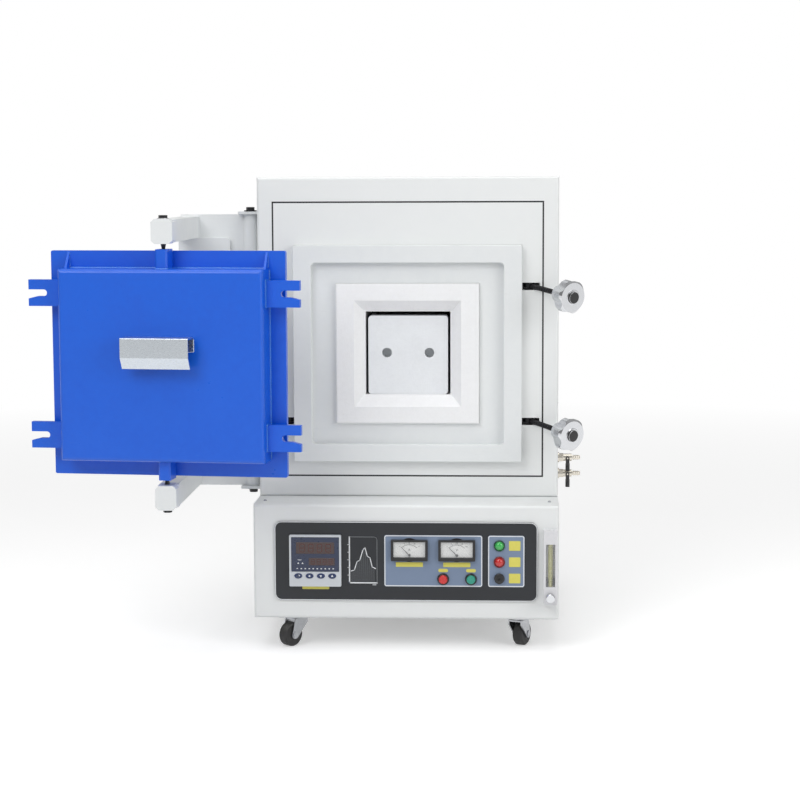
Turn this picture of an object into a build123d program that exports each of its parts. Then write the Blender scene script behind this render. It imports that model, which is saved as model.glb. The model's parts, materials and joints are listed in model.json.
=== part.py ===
from build123d import *
from math import cos, pi, radians, sin, tan
import os

# Box atmosphere furnace on casters, with a swing-arm door held by four swing bolts.
# It is modelled about the furnace: X = 0 is the middle of the casing, Y = 0 its front,
# Z = 0 the floor. The last section moves it so that the origin is under its middle.
# The door is built shut and the bolts straight; each is then turned to its open place.

# Casing and base, in millimetres
casing_width = 565.0
casing_depth = 560.0
casing_top = 875.0
base_top = 273.0
base_bottom = 60.0
ledge_depth = 105.0
sheet = 2.0
bend_radius = 5.0
panel_gap = 0.3
opening_width = 509.0
opening_bottom = 311.0
opening_top = 829.5
opening_seam = 3.0
backing_width = 7.0
backing_thickness = 3.0
louvre_length = 62.0
louvre_height = 5.0
louvre_pitch = 20.0

# Heating chamber
mouth_z = 545.0
flange_width = 428.0
flange_height = 406.0
flange_radius = 3.0
flange_front = -20.0
plate_front = -4.0
plate_thickness = 12.0
frame_band = 34.0
frame_inner_radius = 8.0
vessel_wall = 6.0
vessel_margin = 14.0
vessel_depth = 404.0
block_width = 269.0
block_height = 263.0
block_proud = 10.0
block_depth = 60.0
block_chamfer = 2.0
block_gap = 0.5
funnel_width = 201.0
funnel_height = 200.0
funnel_depth = 20.0
funnel_step = 4.0
hole_width = 160.0
hole_height = 157.0
chamber_depth = 200.0
lining_gap = 1.0
lining_depth = 392.0
plug_width = 150.0
plug_height = 148.0
plug_radius = 6.0
plug_front = 12.0
plug_depth = 48.0
plug_lift = 0.3
finger_spacing = 80.0
finger_radius = 9.3
finger_depth = 25.0
hearth_width = 116.0
hearth_depth = 172.0
hearth_thickness = 8.0
hearth_gap = 4.0
element_radius = 3.5
element_bridge = 2.8
element_half = 20.0
element_x = 68.0
element_clearance = 0.3
element_socket = 46.0
element_first = 44.0
element_pitch = 80.0
element_floor = 34.0
sensor_radius = 4.0
sensor_clearance = 0.2
sensor_x = 50.0
sensor_rise = 55.0
sensor_reach = 12.0
sensor_head_radius = 12.0
sensor_head_length = 38.0
port_x = -50.0
port_radius = 14.0
port_bore = 11.5
port_channel = 6.0
port_end = 595.0
port_lip_radius = 20.0
port_lip = 5.0

# Swing bolts
bolt_x = 226.0
bolt_y = 16.0
bolt_spread = 254.0
bolt_cant = 12.3
bolt_open = 39.0
rod_radius = 4.5
rod_length = 118.0
eye_radius = 8.7
eye_thickness = 10.0
eye_pin = 3.0
cheek_gap = 0.4
cheek_thickness = 4.0
cheek_front = 7.5
cheek_back = 11.0
cheek_inner = 12.0
cheek_outer = 10.0
foot_thickness = 2.0
foot_height = 40.0
slot_above = 5.4
slot_below = 8.4
slot_outer = 21.0
collar_radius = 15.0
collar_thickness = 10.0
collar_lift = 4.0
knob_radius = 31.0
knob_hub_radius = 13.0
knob_hub_length = 12.0
knob_thickness = 22.0
knob_lobes = 6
knob_flute = 30.0
knob_flute_circle = 57.0
knob_chamfer = 4.0
knob_cap_radius = 11.0
knob_cap_height = 4.0
knob_bore_floor = 6.0
knob_play = 0.2
running = 0.06

# Door, built shut
seal_gap = 2.0
door_width = 428.0
door_height = 402.0
door_plate = 12.0
door_window_width = 330.0
door_window_height = 300.0
box_width = 370.0
box_height = 340.0
box_depth = 56.0
box_wall = 4.0
box_radius = 7.0
lining_width = 320.0
lining_height = 290.0
lining_proud = 5.0
seal_groove_width = 8.0
seal_groove_depth = 4.0
seal_width = 7.0
seal_thickness = 5.6
seal_centre = 17.0
ear_thickness = 12.0
ear_height = 47.0
ear_reach = 246.0
ear_setback = 24.0
ear_slot = 12.0
ear_slot_end = 212.0
ear_flare = 4.0
ear_flare_start = 230.0
lug_width = 22.0
lug_depth = 40.0
lug_rise = 3.5
lug_chamfer = 3.0
gusset_x = 181.0
gusset_thickness = 4.0
gusset_depth = 20.0
handle_width = 122.0
handle_reach = 38.0
handle_sheet = 3.0
handle_top = 51.0
handle_bend = 18.0
handle_bottom = -1.0
handle_tilt = 12.0
handle_foot = 24.0
door_turn = -6.0

# Swing arm, built open
hinge_x = -302.0
hinge_y = 60.0
arm_offset = 116.0
arm_length = 302.0
arm_top = 805.0
arm_bottom = 285.0
leg_thickness = 8.0
leg_height = 80.0
bar_width = 34.0
bar_height = 40.0
bar_drop = 4.0
bar_wall = 3.0
block_end = 20.0
pivot_block_width = 38.0
pivot_block_height = 44.0
pivot_block_chamfer = 6.0
stiffener_depth = 12.0
stiffener_inner = 38.0
stiffener_outer = 3.0
stiffener_radius = 6.0
barrel_radius = 13.0
shaft_radius = 8.0
shaft_fit = 0.05
bracket_thickness = 5.0
bracket_reach = 22.0
bracket_half = 20.0
bracket_foot = 30.0
bracket_foot_low = 10.0
bracket_foot_sheet = 4.0
end_play = 0.3
washer_radius = 12.0
washer_thickness = 2.0
head_radius = 8.0
head_height = 6.0
screw_radius = 5.0
screw_head_radius = 8.0
screw_tip_radius = 3.0
screw_tip_depth = 9.0

# Casters
caster_x = 209.0
caster_inset = 45.0
caster_plate = 58.0
caster_plate_thickness = 3.0
race_radius = 15.0
race_height = 5.0
kingpin_radius = 4.0
fork_thickness = 2.5
fork_lip = 8.0
fork_play = 0.3
fork_cheek = 2.5
fork_heel = 17.0
fork_toe = 14.0
fork_half = 11.5
caster_trail = 14.0
axle_radius = 4.0
axle_boss = 8.0
axle_head = 6.0
axle_head_height = 1.5
wheel_radius = 22.5
wheel_width = 20.0
wheel_chamfer = 3.0
caster_turns = {
    "front_left": 138.0,
    "front_right": -25.0,
    "rear_left": 20.0,
    "rear_right": -30.0,
}

# Instruments on the base
fascia_width = 486.0
fascia_height = 148.0
fascia_radius = 13.0
fascia_thickness = 3.0
fascia_z = 168.5
fascia_overlap = 12.0
instrument_z = 170.0
controller_x = -167.0
controller_size = 96.0
controller_proud = 8.0
controller_body = 90.0
controller_length = 80.0
controller_border = 3.5
controller_strip = 24.0
controller_recess = 2.0
key_pitch = 21.0
key_rise = 20.0
key_width = 14.0
key_height = 9.0
key_proud = 1.0
overlay_thickness = 1.5
overlay_radius = 4.0
meter_plate_x = 51.0
meter_plate_width = 181.0
overlay_height = 96.0
lamp_plate_x = 185.5
lamp_plate_width = 67.0
meter_xs = (7.0, 94.5)
meter_z = 190.4
meter_width = 68.0
meter_height = 39.0
meter_proud = 8.5
meter_body_radius = 22.0
meter_length = 50.0
window_width = 59.0
window_height = 29.0
window_rise = 1.5
window_depth = 5.5
needle_length = 21.0
needle_rise = 4.0
needle_pin = 1.0
needle_hub = 2.6
needle_thickness = 1.0
needle_stand = 1.8
needle_zero = -45.0
button_xs = {"red_button": 69.3, "green_button": 120.6}
button_z = 136.5
button_radius = 8.0
button_clearance = 0.4
button_bezel = 11.0
button_bezel_height = 4.0
button_proud = 8.0
button_length = 15.0
button_chamfer = 1.0
lamp_x = 172.8
lamp_top_z = 199.1
lamp_pitch = 30.4
lamp_radius = 8.0
lamp_lens_height = 5.0
lamp_lens_chamfer = 3.0
lamp_bezel = 10.5
lamp_bezel_height = 3.5
lamp_stem = 6.0
lamp_stem_length = 12.0
stem_gap = 0.2
buzzer_radius = 9.5
buzzer_height = 7.0
buzzer_hole = 2.5
buzzer_hole_depth = 3.0
flow_x = 266.5
flow_width = 25.0
flow_bottom = 92.0
flow_top = 230.0
flow_depth = 20.0
flow_window = 17.0
flow_window_bottom = 125.5
flow_window_top = 204.6
flow_window_depth = 15.0
flow_axis = 12.0
tube_radius = 4.6
tube_bore = 3.3
float_radius = 3.0
float_height = 8.0
float_lift = 1.0
float_waist = 1.6
flow_knob_z = 107.0
flow_knob_radius = 8.0
flow_knob_length = 14.0
flow_knob_gap = 1.0
flow_stem_radius = 2.5
flow_stem_length = 12.0

# Gas valves on the right side
valve_y = 45.0
valve_zs = {"upper_lever": 342.6, "lower_lever": 312.2}
valve_flange_radius = 10.0
valve_flange = 3.0
valve_nut = 8.5
valve_nut_length = 8.0
valve_barrel = 7.0
valve_barrel_length = 16.0
spigot_radius = 4.0
spigot_bore = 2.5
spigot_length = 16.0
stem_boss = 4.0
stem_boss_reach = 11.0
stem_pin = 1.5
stem_pin_length = 5.0
lever_gap = 0.5
lever_thickness = 3.0
lever_width = 7.0
lever_length = 28.0

# Rear and inside of the base
gland_x = 180.0
gland_z = 120.0
gland_radius = 13.0
gland_bore = 8.0
gland_length = 15.0
core_width = 130.0
core_depth = 80.0
core_height = 112.0
core_window = 26.0
core_limb = 20.0
coil_overhang = 18.0
core_y = 250.0
core_x = -60.0

half_width = casing_width / 2
base_front = -ledge_depth
plate_back = plate_front + plate_thickness
block_front = plate_front - block_proud
block_back = block_front + block_depth
lining_back = plate_back + lining_depth
chamber_back = block_back + chamber_depth
hole_floor = mouth_z - hole_height / 2
door_back = flange_front - seal_gap
door_front = door_back - door_plate
box_front = door_front - box_depth
pivot_y = hinge_y - arm_offset
fascia_back = base_front
fascia_front = fascia_back - fascia_thickness
overlay_front = fascia_front - overlay_thickness
parts = {}


def block(x0, x1, y0, y1, z0, z1):
    """A box between two corners."""
    return Pos((x0 + x1) / 2, (y0 + y1) / 2, (z0 + z1) / 2) * Box(x1 - x0, y1 - y0, z1 - z0)


def front_plane(x, y, z):
    """A plane at a point that faces the front, with Z up on it."""
    return Plane(origin=(x, y, z), x_dir=(1, 0, 0), z_dir=(0, -1, 0))


def slab(x, z, width, height, front, back, radius=0.0):
    """An upright plate that faces the front, with its four corners rounded."""
    outline = RectangleRounded(width, height, radius) if radius else Rectangle(width, height)
    return extrude(front_plane(x, back, z) * outline, amount=back - front)


def rod_x(y, z, radius, x0, x1):
    """A round bar along X."""
    return Pos((x0 + x1) / 2, y, z) * Rot(0, 90, 0) * Cylinder(radius, x1 - x0)


def rod_y(x, z, radius, y0, y1):
    """A round bar along Y."""
    return Pos(x, (y0 + y1) / 2, z) * Rot(90, 0, 0) * Cylinder(radius, y1 - y0)


def rod_z(x, y, radius, z0, z1):
    """A round bar along Z."""
    return Pos(x, y, (z0 + z1) / 2) * Cylinder(radius, z1 - z0)


def soften_front(solid, radius):
    """Rounds the four edges of the solid's front face and its two front uprights."""
    front = solid.faces().sort_by(Axis.Y)[0]
    return fillet(front.edges(), radius)


def louvres(count, columns, x0, x1, y_middle, z_first):
    """Rows of ventilation slots that cut a side wall between x0 and x1."""
    cuts = []
    for column in range(columns):
        y = y_middle + (column - (columns - 1) / 2) * louvre_length * 1.5
        for row in range(count):
            z = z_first + row * louvre_pitch
            cuts.append(
                block(x0, x1, y - louvre_length / 2, y + louvre_length / 2, z, z + louvre_height)
            )
    return cuts


def rear_louvres(count, columns, y0, y1, x_middle, z_first):
    """Rows of ventilation slots that cut a rear wall between y0 and y1."""
    cuts = []
    for column in range(columns):
        x = x_middle + (column - (columns - 1) / 2) * louvre_length * 1.5
        for row in range(count):
            z = z_first + row * louvre_pitch
            cuts.append(
                block(x - louvre_length / 2, x + louvre_length / 2, y0, y1, z, z + louvre_height)
            )
    return cuts


# Base cabinet: a folded sheet box, open at the back, with the instrument opening
base = soften_front(
    block(-half_width, half_width, base_front, casing_depth, base_bottom, base_top), bend_radius
)
base -= block(
    sheet - half_width,
    half_width - sheet,
    base_front + sheet,
    casing_depth + sheet,
    base_bottom + sheet,
    base_top - sheet,
)
base -= slab(
    0,
    fascia_z,
    fascia_width - 2 * fascia_overlap,
    fascia_height - 2 * fascia_overlap,
    base_front - sheet,
    base_front + 2 * sheet,
    fascia_radius / 2,
)
for cut in louvres(6, 2, -half_width - sheet, half_width + sheet, casing_depth / 2, 115.0):
    base -= cut
parts["base_cabinet"] = base


# Panels that close the back of the base and of the casing
def back_panel(bottom, top):
    """A sheet that fits into the open back of a box of the casing's width."""
    inset = sheet + panel_gap
    return block(
        inset - half_width,
        half_width - inset,
        casing_depth - sheet,
        casing_depth,
        bottom + inset,
        top - inset,
    )


base_rear = back_panel(base_bottom, base_top)
for cut in rear_louvres(5, 3, casing_depth - 2 * sheet, casing_depth + sheet, -60.0, 110.0):
    base_rear -= cut
base_rear += rod_y(gland_x, gland_z, gland_radius, casing_depth - sheet, casing_depth + gland_length)
base_rear -= rod_y(
    gland_x, gland_z, gland_bore, casing_depth - 2 * sheet, casing_depth + gland_length + sheet
)

rear = back_panel(base_top, casing_top)
rear -= rod_y(port_x, mouth_z, port_radius + panel_gap, casing_depth - 2 * sheet, casing_depth + sheet)
for cut in rear_louvres(7, 3, casing_depth - 2 * sheet, casing_depth + sheet, 0.0, 690.0):
    rear -= cut
for cut in rear_louvres(5, 3, casing_depth - 2 * sheet, casing_depth + sheet, 0.0, 340.0):
    rear -= cut
parts["rear_panels"] = Compound(children=[base_rear, rear])

# Upper casing: a folded wrap with a framed front opening that the front panel sits in
opening_height = opening_top - opening_bottom
opening_z = (opening_top + opening_bottom) / 2
casing = soften_front(
    block(-half_width, half_width, 0, casing_depth, base_top, casing_top), bend_radius
)
casing -= block(
    sheet - half_width,
    half_width - sheet,
    sheet,
    casing_depth + sheet,
    base_top + sheet,
    casing_top - sheet,
)
casing += slab(
    0,
    opening_z,
    opening_width + 2 * backing_width,
    opening_height + 2 * backing_width,
    sheet,
    sheet + backing_thickness,
)
casing -= slab(0, opening_z, opening_width, opening_height, -sheet, sheet)
casing -= slab(
    0,
    opening_z,
    opening_width - 2 * backing_width,
    opening_height - 2 * backing_width,
    -sheet,
    3 * sheet + backing_thickness,
)
for cut in louvres(5, 2, -half_width - sheet, half_width + sheet, casing_depth * 0.6, 730.0):
    casing -= cut
parts["upper_casing"] = casing

# Front panel: flush in the opening, cut out for the chamber flange and the four bolts
front = slab(
    0, opening_z, opening_width - 2 * opening_seam, opening_height - 2 * opening_seam, 0, sheet
)
front -= slab(
    0, mouth_z, flange_width + 2 * panel_gap, flange_height + 2 * panel_gap, -sheet, 2 * sheet
)
bolt_zs = {"upper": mouth_z + bolt_spread / 2, "lower": mouth_z - bolt_spread / 2}
for side in (-1, 1):
    for bolt_z in bolt_zs.values():
        x_near = side * (flange_width / 2 - sheet)
        x_far = side * (bolt_x + slot_outer)
        front -= block(
            min(x_near, x_far),
            max(x_near, x_far),
            -sheet,
            2 * sheet,
            bolt_z - slot_below,
            bolt_z + slot_above,
        )
parts["front_panel"] = front

# Sealed vessel, welded from plates: a thick front plate, four walls, a back and a port
vessel_width = flange_width - 2 * vessel_margin
vessel_height = flange_height - 2 * vessel_margin + vessel_wall
vessel_back = plate_back + vessel_depth
sensor_z = mouth_z + sensor_rise
flange_plate = slab(0, mouth_z, flange_width, flange_height, plate_front, plate_back, flange_radius)
flange_plate -= slab(
    0,
    mouth_z,
    block_width + 2 * block_gap,
    block_height + 2 * block_gap,
    plate_front - sheet,
    plate_back + sheet,
)


def ring_of_boards(width, height, inner_width, inner_height, front, back):
    """Top, bottom, left and right boards round a space in the middle of the furnace."""
    boards = []
    for side in (1, -1):
        edges = sorted((mouth_z + side * inner_height / 2, mouth_z + side * height / 2))
        boards.append(block(-width / 2, width / 2, front, back, edges[0], edges[1]))
    for side in (-1, 1):
        edges = sorted((side * inner_width / 2, side * width / 2))
        boards.append(
            block(edges[0], edges[1], front, back, mouth_z - inner_height / 2, mouth_z + inner_height / 2)
        )
    return boards


def sensor_hole(front, back):
    """The clearance hole for the thermocouple's sheath."""
    return rod_y(sensor_x, sensor_z, sensor_radius + sensor_clearance, front - sheet, back + sheet)


vessel_walls = ring_of_boards(
    vessel_width,
    vessel_height,
    vessel_width - 2 * vessel_wall,
    vessel_height - 2 * vessel_wall,
    plate_back,
    vessel_back - vessel_wall,
)
vessel_end = slab(0, mouth_z, vessel_width, vessel_height, vessel_back - vessel_wall, vessel_back)
vessel_end -= rod_y(port_x, mouth_z, port_bore, vessel_back - 2 * vessel_wall, vessel_back + sheet)
vessel_end -= sensor_hole(vessel_back - vessel_wall, vessel_back)
port = rod_y(port_x, mouth_z, port_radius, vessel_back, port_end)
port += rod_y(port_x, mouth_z, port_lip_radius, port_end - port_lip, port_end)
port -= rod_y(port_x, mouth_z, port_bore, vessel_back - sheet, port_end + sheet)
parts["vessel"] = Compound(children=[flange_plate, *vessel_walls, vessel_end, port])

# Raised frame on the front plate, which the door's seal presses on
frame = slab(0, mouth_z, flange_width, flange_height, flange_front, plate_front, flange_radius)
frame -= slab(
    0,
    mouth_z,
    flange_width - 2 * frame_band,
    flange_height - 2 * frame_band + flange_radius,
    flange_front - sheet,
    plate_front + sheet,
    frame_inner_radius,
)
parts["seal_frame"] = chamfer(frame.faces().sort_by(Axis.Y)[0].edges(), 1.0)

# Ceramic fibre mouth block with a funnel that narrows to the chamber
mouth = slab(0, mouth_z, block_width, block_height, block_front, block_back)
mouth = chamfer(mouth.faces().sort_by(Axis.Y)[0].edges(), block_chamfer)
funnel = loft(
    [
        front_plane(0, block_front, mouth_z) * Rectangle(funnel_width, funnel_height),
        front_plane(0, block_front + funnel_depth, mouth_z)
        * Rectangle(hole_width + funnel_step, hole_height + funnel_step / 4),
    ]
)
mouth -= funnel
mouth -= slab(0, mouth_z, hole_width, hole_height, block_front - sheet, block_back + sheet)
parts["fibre_mouth"] = mouth

# Fibre lining: an outer and an inner layer of boards, and a thick board behind the chamber
lining_width_all = vessel_width - 2 * vessel_wall - lining_gap
lining_height_all = vessel_height - 2 * vessel_wall - lining_gap
block_space_width = block_width + 2 * block_gap
block_space_height = block_height + 2 * block_gap
outer_boards = ring_of_boards(
    lining_width_all,
    lining_height_all,
    block_space_width,
    block_space_height,
    plate_back,
    chamber_back,
)
inner_boards = ring_of_boards(
    block_space_width, block_space_height, hole_width, hole_height, block_back, chamber_back
)
end_board = slab(0, mouth_z, lining_width_all, lining_height_all, chamber_back, lining_back)
end_board -= rod_y(port_x, mouth_z, port_channel, chamber_back - sheet, lining_back + sheet)
end_board -= sensor_hole(chamber_back, lining_back)
hole_roof = hole_floor + hole_height
element_ys = [block_back + element_first + pair * element_pitch for pair in (0, 1)]
for element_side in (-1, 1):
    for element_y in element_ys:
        for leg in (-1, 1):
            inner_boards[0] -= rod_z(
                element_side * element_x,
                element_y + leg * element_half,
                element_radius + element_clearance,
                hole_roof - sheet,
                hole_roof + element_socket,
            )
parts["chamber_lining"] = Compound(children=[*outer_boards, *inner_boards, end_board])


# Heating elements: two U-shaped rods on each side, hung from the chamber's roof
def heating_element(x, y):
    """Two upright legs joined near the bottom by a thinner bridge rod."""
    bridge_z = hole_floor + element_floor
    shape = rod_y(x, bridge_z, element_bridge, y - element_half, y + element_half)
    for side in (-1, 1):
        shape += rod_z(
            x,
            y + side * element_half,
            element_radius,
            bridge_z - 2 * element_radius,
            hole_roof + element_socket - sheet,
        )
    return shape


elements = [heating_element(side * element_x, y) for side in (-1, 1) for y in element_ys]
parts["heating_elements"] = Compound(children=elements)

parts["hearth_plate"] = block(
    -hearth_width / 2,
    hearth_width / 2,
    plug_front + plug_depth + hearth_gap,
    plug_front + plug_depth + hearth_gap + hearth_depth,
    hole_floor,
    hole_floor + hearth_thickness,
)

sensor = rod_y(sensor_x, sensor_z, sensor_radius, chamber_back - sensor_reach, vessel_back)
sensor += rod_y(sensor_x, sensor_z, sensor_head_radius, vessel_back, vessel_back + sensor_head_length)
parts["thermocouple"] = sensor

# Loose plug in the chamber's mouth, with two blind finger holes
plug_z = hole_floor + plug_lift + plug_height / 2
plug = slab(0, plug_z, plug_width, plug_height, plug_front, plug_front + plug_depth, plug_radius)
for side in (-1, 1):
    plug -= rod_y(
        side * finger_spacing / 2, mouth_z, finger_radius, plug_front - sheet, plug_front + finger_depth
    )
parts["furnace_plug"] = plug


# Swing bolts
def bolt_pivot(side, bolt_z):
    """Where a bolt turns."""
    return Vector(side * bolt_x, bolt_y, bolt_z)


def canted(shape, side, bolt_z, turn=0.0):
    """A shape built about the origin, turned on the canted pin and put at its pivot."""
    return Pos(bolt_pivot(side, bolt_z)) * Rot(0, side * bolt_cant, 0) * Rot(0, 0, side * turn) * shape


def clevis():
    """Two cheeks with a web behind them and a pin through them, about the pin's middle."""
    near = eye_thickness / 2 + cheek_gap
    far = near + cheek_thickness
    shape = block(-cheek_inner, cheek_outer, -cheek_front, cheek_back, -far, far)
    shape -= block(
        -cheek_inner - sheet, cheek_outer + sheet, -cheek_front - sheet, cheek_back - sheet, -near, near
    )
    return shape + rod_z(0, 0, eye_pin, -far, far)


def bolt_bracket(side, bolt_z):
    """A clevis with the foot that is welded to the edge of the front plate."""
    foot_near = side * flange_width / 2
    foot_far = side * (flange_width / 2 + foot_thickness)
    foot = block(
        min(foot_near, foot_far),
        max(foot_near, foot_far),
        backing_thickness + sheet,
        bolt_y + cheek_back,
        bolt_z - foot_height / 2,
        bolt_z + foot_height / 2,
    )
    limit = block(
        -half_width if side < 0 else flange_width / 2 - sheet,
        sheet - flange_width / 2 if side < 0 else half_width,
        plate_back + panel_gap,
        casing_depth,
        bolt_z - foot_height,
        bolt_z + foot_height,
    )
    mirror = clevis() if side > 0 else Rot(0, 0, 180) * Rot(180, 0, 0) * clevis()
    return foot + (canted(mirror, side, bolt_z) & limit)


brackets = [bolt_bracket(side, bolt_z) for side in (-1, 1) for bolt_z in bolt_zs.values()]
parts["bolt_brackets"] = Compound(children=brackets)


def eye_bolt():
    """A rod along -Y with an eye that turns about Z at the origin."""
    shape = Cylinder(eye_radius, eye_thickness)
    shape += rod_y(0, 0, rod_radius, -rod_length, 0)
    return shape - Cylinder(eye_pin + running, 2 * eye_thickness)


door_ear_front = box_front + ear_setback
collar_start = bolt_y - door_ear_front + collar_lift


def collar():
    """The thick washer that bears on a door ear."""
    shape = rod_y(0, 0, collar_radius, -collar_start - collar_thickness, -collar_start)
    shape = chamfer(shape.edges().filter_by(GeomType.CIRCLE), 1.2)
    return shape - rod_y(0, 0, rod_radius + running, -rod_length, 0)


def knob():
    """A lobed hand knob with a conical hub, a round cap and a blind bore for the rod."""
    hub_start = collar_start + collar_thickness + knob_play
    disc_start = hub_start + knob_hub_length
    disc_end = disc_start + knob_thickness
    disc = rod_y(0, 0, knob_radius, -disc_end, -disc_start)
    disc = chamfer(disc.edges().filter_by(GeomType.CIRCLE), knob_chamfer)
    for lobe in range(knob_lobes):
        angle = 2 * pi * (lobe + 0.5) / knob_lobes
        disc -= rod_y(
            knob_flute_circle * cos(angle),
            knob_flute_circle * sin(angle),
            knob_flute,
            -disc_end - sheet,
            -disc_start + sheet,
        )
    hub = Plane.XZ.offset(hub_start) * Circle(knob_hub_radius)
    root = Plane.XZ.offset(disc_start) * Circle(knob_hub_radius * 1.5)
    shape = disc + loft([hub, root])
    shape += rod_y(0, 0, knob_cap_radius, -disc_end - knob_cap_height, -disc_end)
    bore_end = disc_end - knob_bore_floor
    return shape - rod_y(0, 0, rod_radius + running, -bore_end, -hub_start + sheet)


for side, hand in ((-1, "left"), (1, "right")):
    for level, bolt_z in bolt_zs.items():
        place = f"{level}_{hand}"
        parts[f"bolt_{place}"] = canted(eye_bolt(), side, bolt_z, bolt_open)
        parts[f"collar_{place}"] = canted(collar(), side, bolt_z, bolt_open)
        parts[f"knob_{place}"] = canted(knob(), side, bolt_z, bolt_open)


# Door, built shut and then carried to its open place
def opened(shape):
    """Carries a piece of the shut door to where the open swing arm holds it."""
    there = Pos(hinge_x - arm_offset, hinge_y - arm_length, 0) * Rot(0, 0, door_turn)
    return there * Pos(0, -pivot_y, 0) * shape


plate = slab(0, mouth_z, door_width, door_height, door_front, door_back, flange_radius)
plate -= slab(0, mouth_z, door_window_width, door_window_height, door_front - sheet, door_back + sheet)
groove_outer = seal_groove_width / 2
seal_path_width = flange_width - 2 * seal_centre
seal_path_height = flange_height - 2 * seal_centre


def seal_ring(width, front, back):
    """A flat ring of the seal's path, between two depths."""
    ring = slab(
        0, mouth_z, seal_path_width + width, seal_path_height + width, front, back, seal_centre
    )
    return ring - slab(
        0,
        mouth_z,
        seal_path_width - width,
        seal_path_height - width,
        front - sheet,
        back + sheet,
        seal_centre - width,
    )


plate -= seal_ring(seal_groove_width, door_back - seal_groove_depth, door_back + sheet)
for side in (-1, 1):
    rib = Plane.YZ.offset(side * gusset_x - gusset_thickness / 2) * make_face(
        Polyline(
            (door_front, mouth_z + box_height / 2),
            (door_front, mouth_z + door_height / 2 - sheet),
            (door_front - gusset_depth, mouth_z + box_height / 2),
            close=True,
        )
    )
    plate += extrude(rib, amount=gusset_thickness)
parts["door_plate"] = opened(plate)
parts["door_seal"] = opened(
    seal_ring(
        seal_width,
        door_back - seal_groove_depth,
        door_back - seal_groove_depth + seal_thickness,
    )
)

box = soften_front(slab(0, mouth_z, box_width, box_height, box_front, door_front), box_radius)
box -= slab(
    0,
    mouth_z,
    box_width - 2 * box_wall,
    box_height - 2 * box_wall,
    box_front + box_wall,
    door_front + sheet,
)
parts["door_box"] = opened(box)

door_lining = slab(
    0, mouth_z, lining_width, lining_height, box_front + box_wall, door_back + lining_proud
)
parts["door_lining"] = opened(chamfer(door_lining.faces().sort_by(Axis.Y)[-1].edges(), 3.0))


def door_ear(side, bolt_z):
    """A welded ear with a slot for a bolt, round inside and flared below at its mouth."""
    front_y = door_ear_front
    back_y = front_y + ear_thickness
    near = side * box_width / 2
    far = side * ear_reach
    ear = block(
        min(near, far), max(near, far), front_y, back_y, bolt_z - ear_height / 2, bolt_z + ear_height / 2
    )
    slot_middle = side * (ear_slot_end + ear_slot / 2)
    slot_far = side * (ear_reach + sheet)
    ear -= rod_y(slot_middle, bolt_z, ear_slot / 2, front_y - sheet, back_y + sheet)
    ear -= block(
        min(slot_middle, slot_far),
        max(slot_middle, slot_far),
        front_y - sheet,
        back_y + sheet,
        bolt_z - ear_slot / 2,
        bolt_z + ear_slot / 2,
    )
    flare = front_plane(0, back_y + sheet, bolt_z) * make_face(
        Polyline(
            (side * ear_flare_start, -ear_slot / 2),
            (side * ear_reach, -ear_slot / 2 - ear_flare),
            (side * (ear_reach + sheet), -ear_slot / 2 - ear_flare),
            (side * (ear_reach + sheet), 0),
            (side * ear_flare_start, 0),
            close=True,
        )
    )
    return ear - extrude(flare, amount=ear_thickness + 2 * sheet)


def door_lug(level):
    """The block on the door box that a pivot screw points into, with its socket."""
    box_edge = mouth_z + level * box_height / 2
    lug_edge = mouth_z + level * (door_height / 2 + lug_rise)
    lug = block(
        -lug_width / 2,
        lug_width / 2,
        door_front - lug_depth,
        door_front,
        min(box_edge, lug_edge),
        max(box_edge, lug_edge),
    )
    lug = chamfer(lug.edges().filter_by(Axis.Z), lug_chamfer)
    socket_end = lug_edge - level * (screw_tip_depth + sheet)
    return lug - rod_z(
        0,
        pivot_y,
        screw_tip_radius + running,
        min(socket_end, lug_edge + level * sheet),
        max(socket_end, lug_edge + level * sheet),
    )


door_fixtures = [door_ear(side, bolt_z) for side in (-1, 1) for bolt_z in bolt_zs.values()]
door_fixtures += [door_lug(level) for level in (-1, 1)]
parts["door_lugs"] = opened(Compound(children=door_fixtures))

grip_front = box_front - handle_reach
grip_line = Polyline(
    (box_front - handle_sheet / 2, mouth_z + handle_top - handle_foot),
    (box_front - handle_sheet / 2, mouth_z + handle_top),
    (grip_front, mouth_z + handle_top),
    (grip_front, mouth_z + handle_bend),
    (grip_front + handle_tilt, mouth_z + handle_bottom),
)
grip = extrude(
    Plane.YZ.offset(-handle_width / 2) * make_face(offset(grip_line, handle_sheet / 2).edges()),
    amount=handle_width,
)
parts["door_handle"] = opened(grip)

# Swing arm, built open
leg_end = hinge_x - arm_offset - bar_width / 2
pivot_x = hinge_x - arm_offset
arm_front = hinge_y - arm_length
leg_front = hinge_y - leg_thickness / 2


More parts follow.
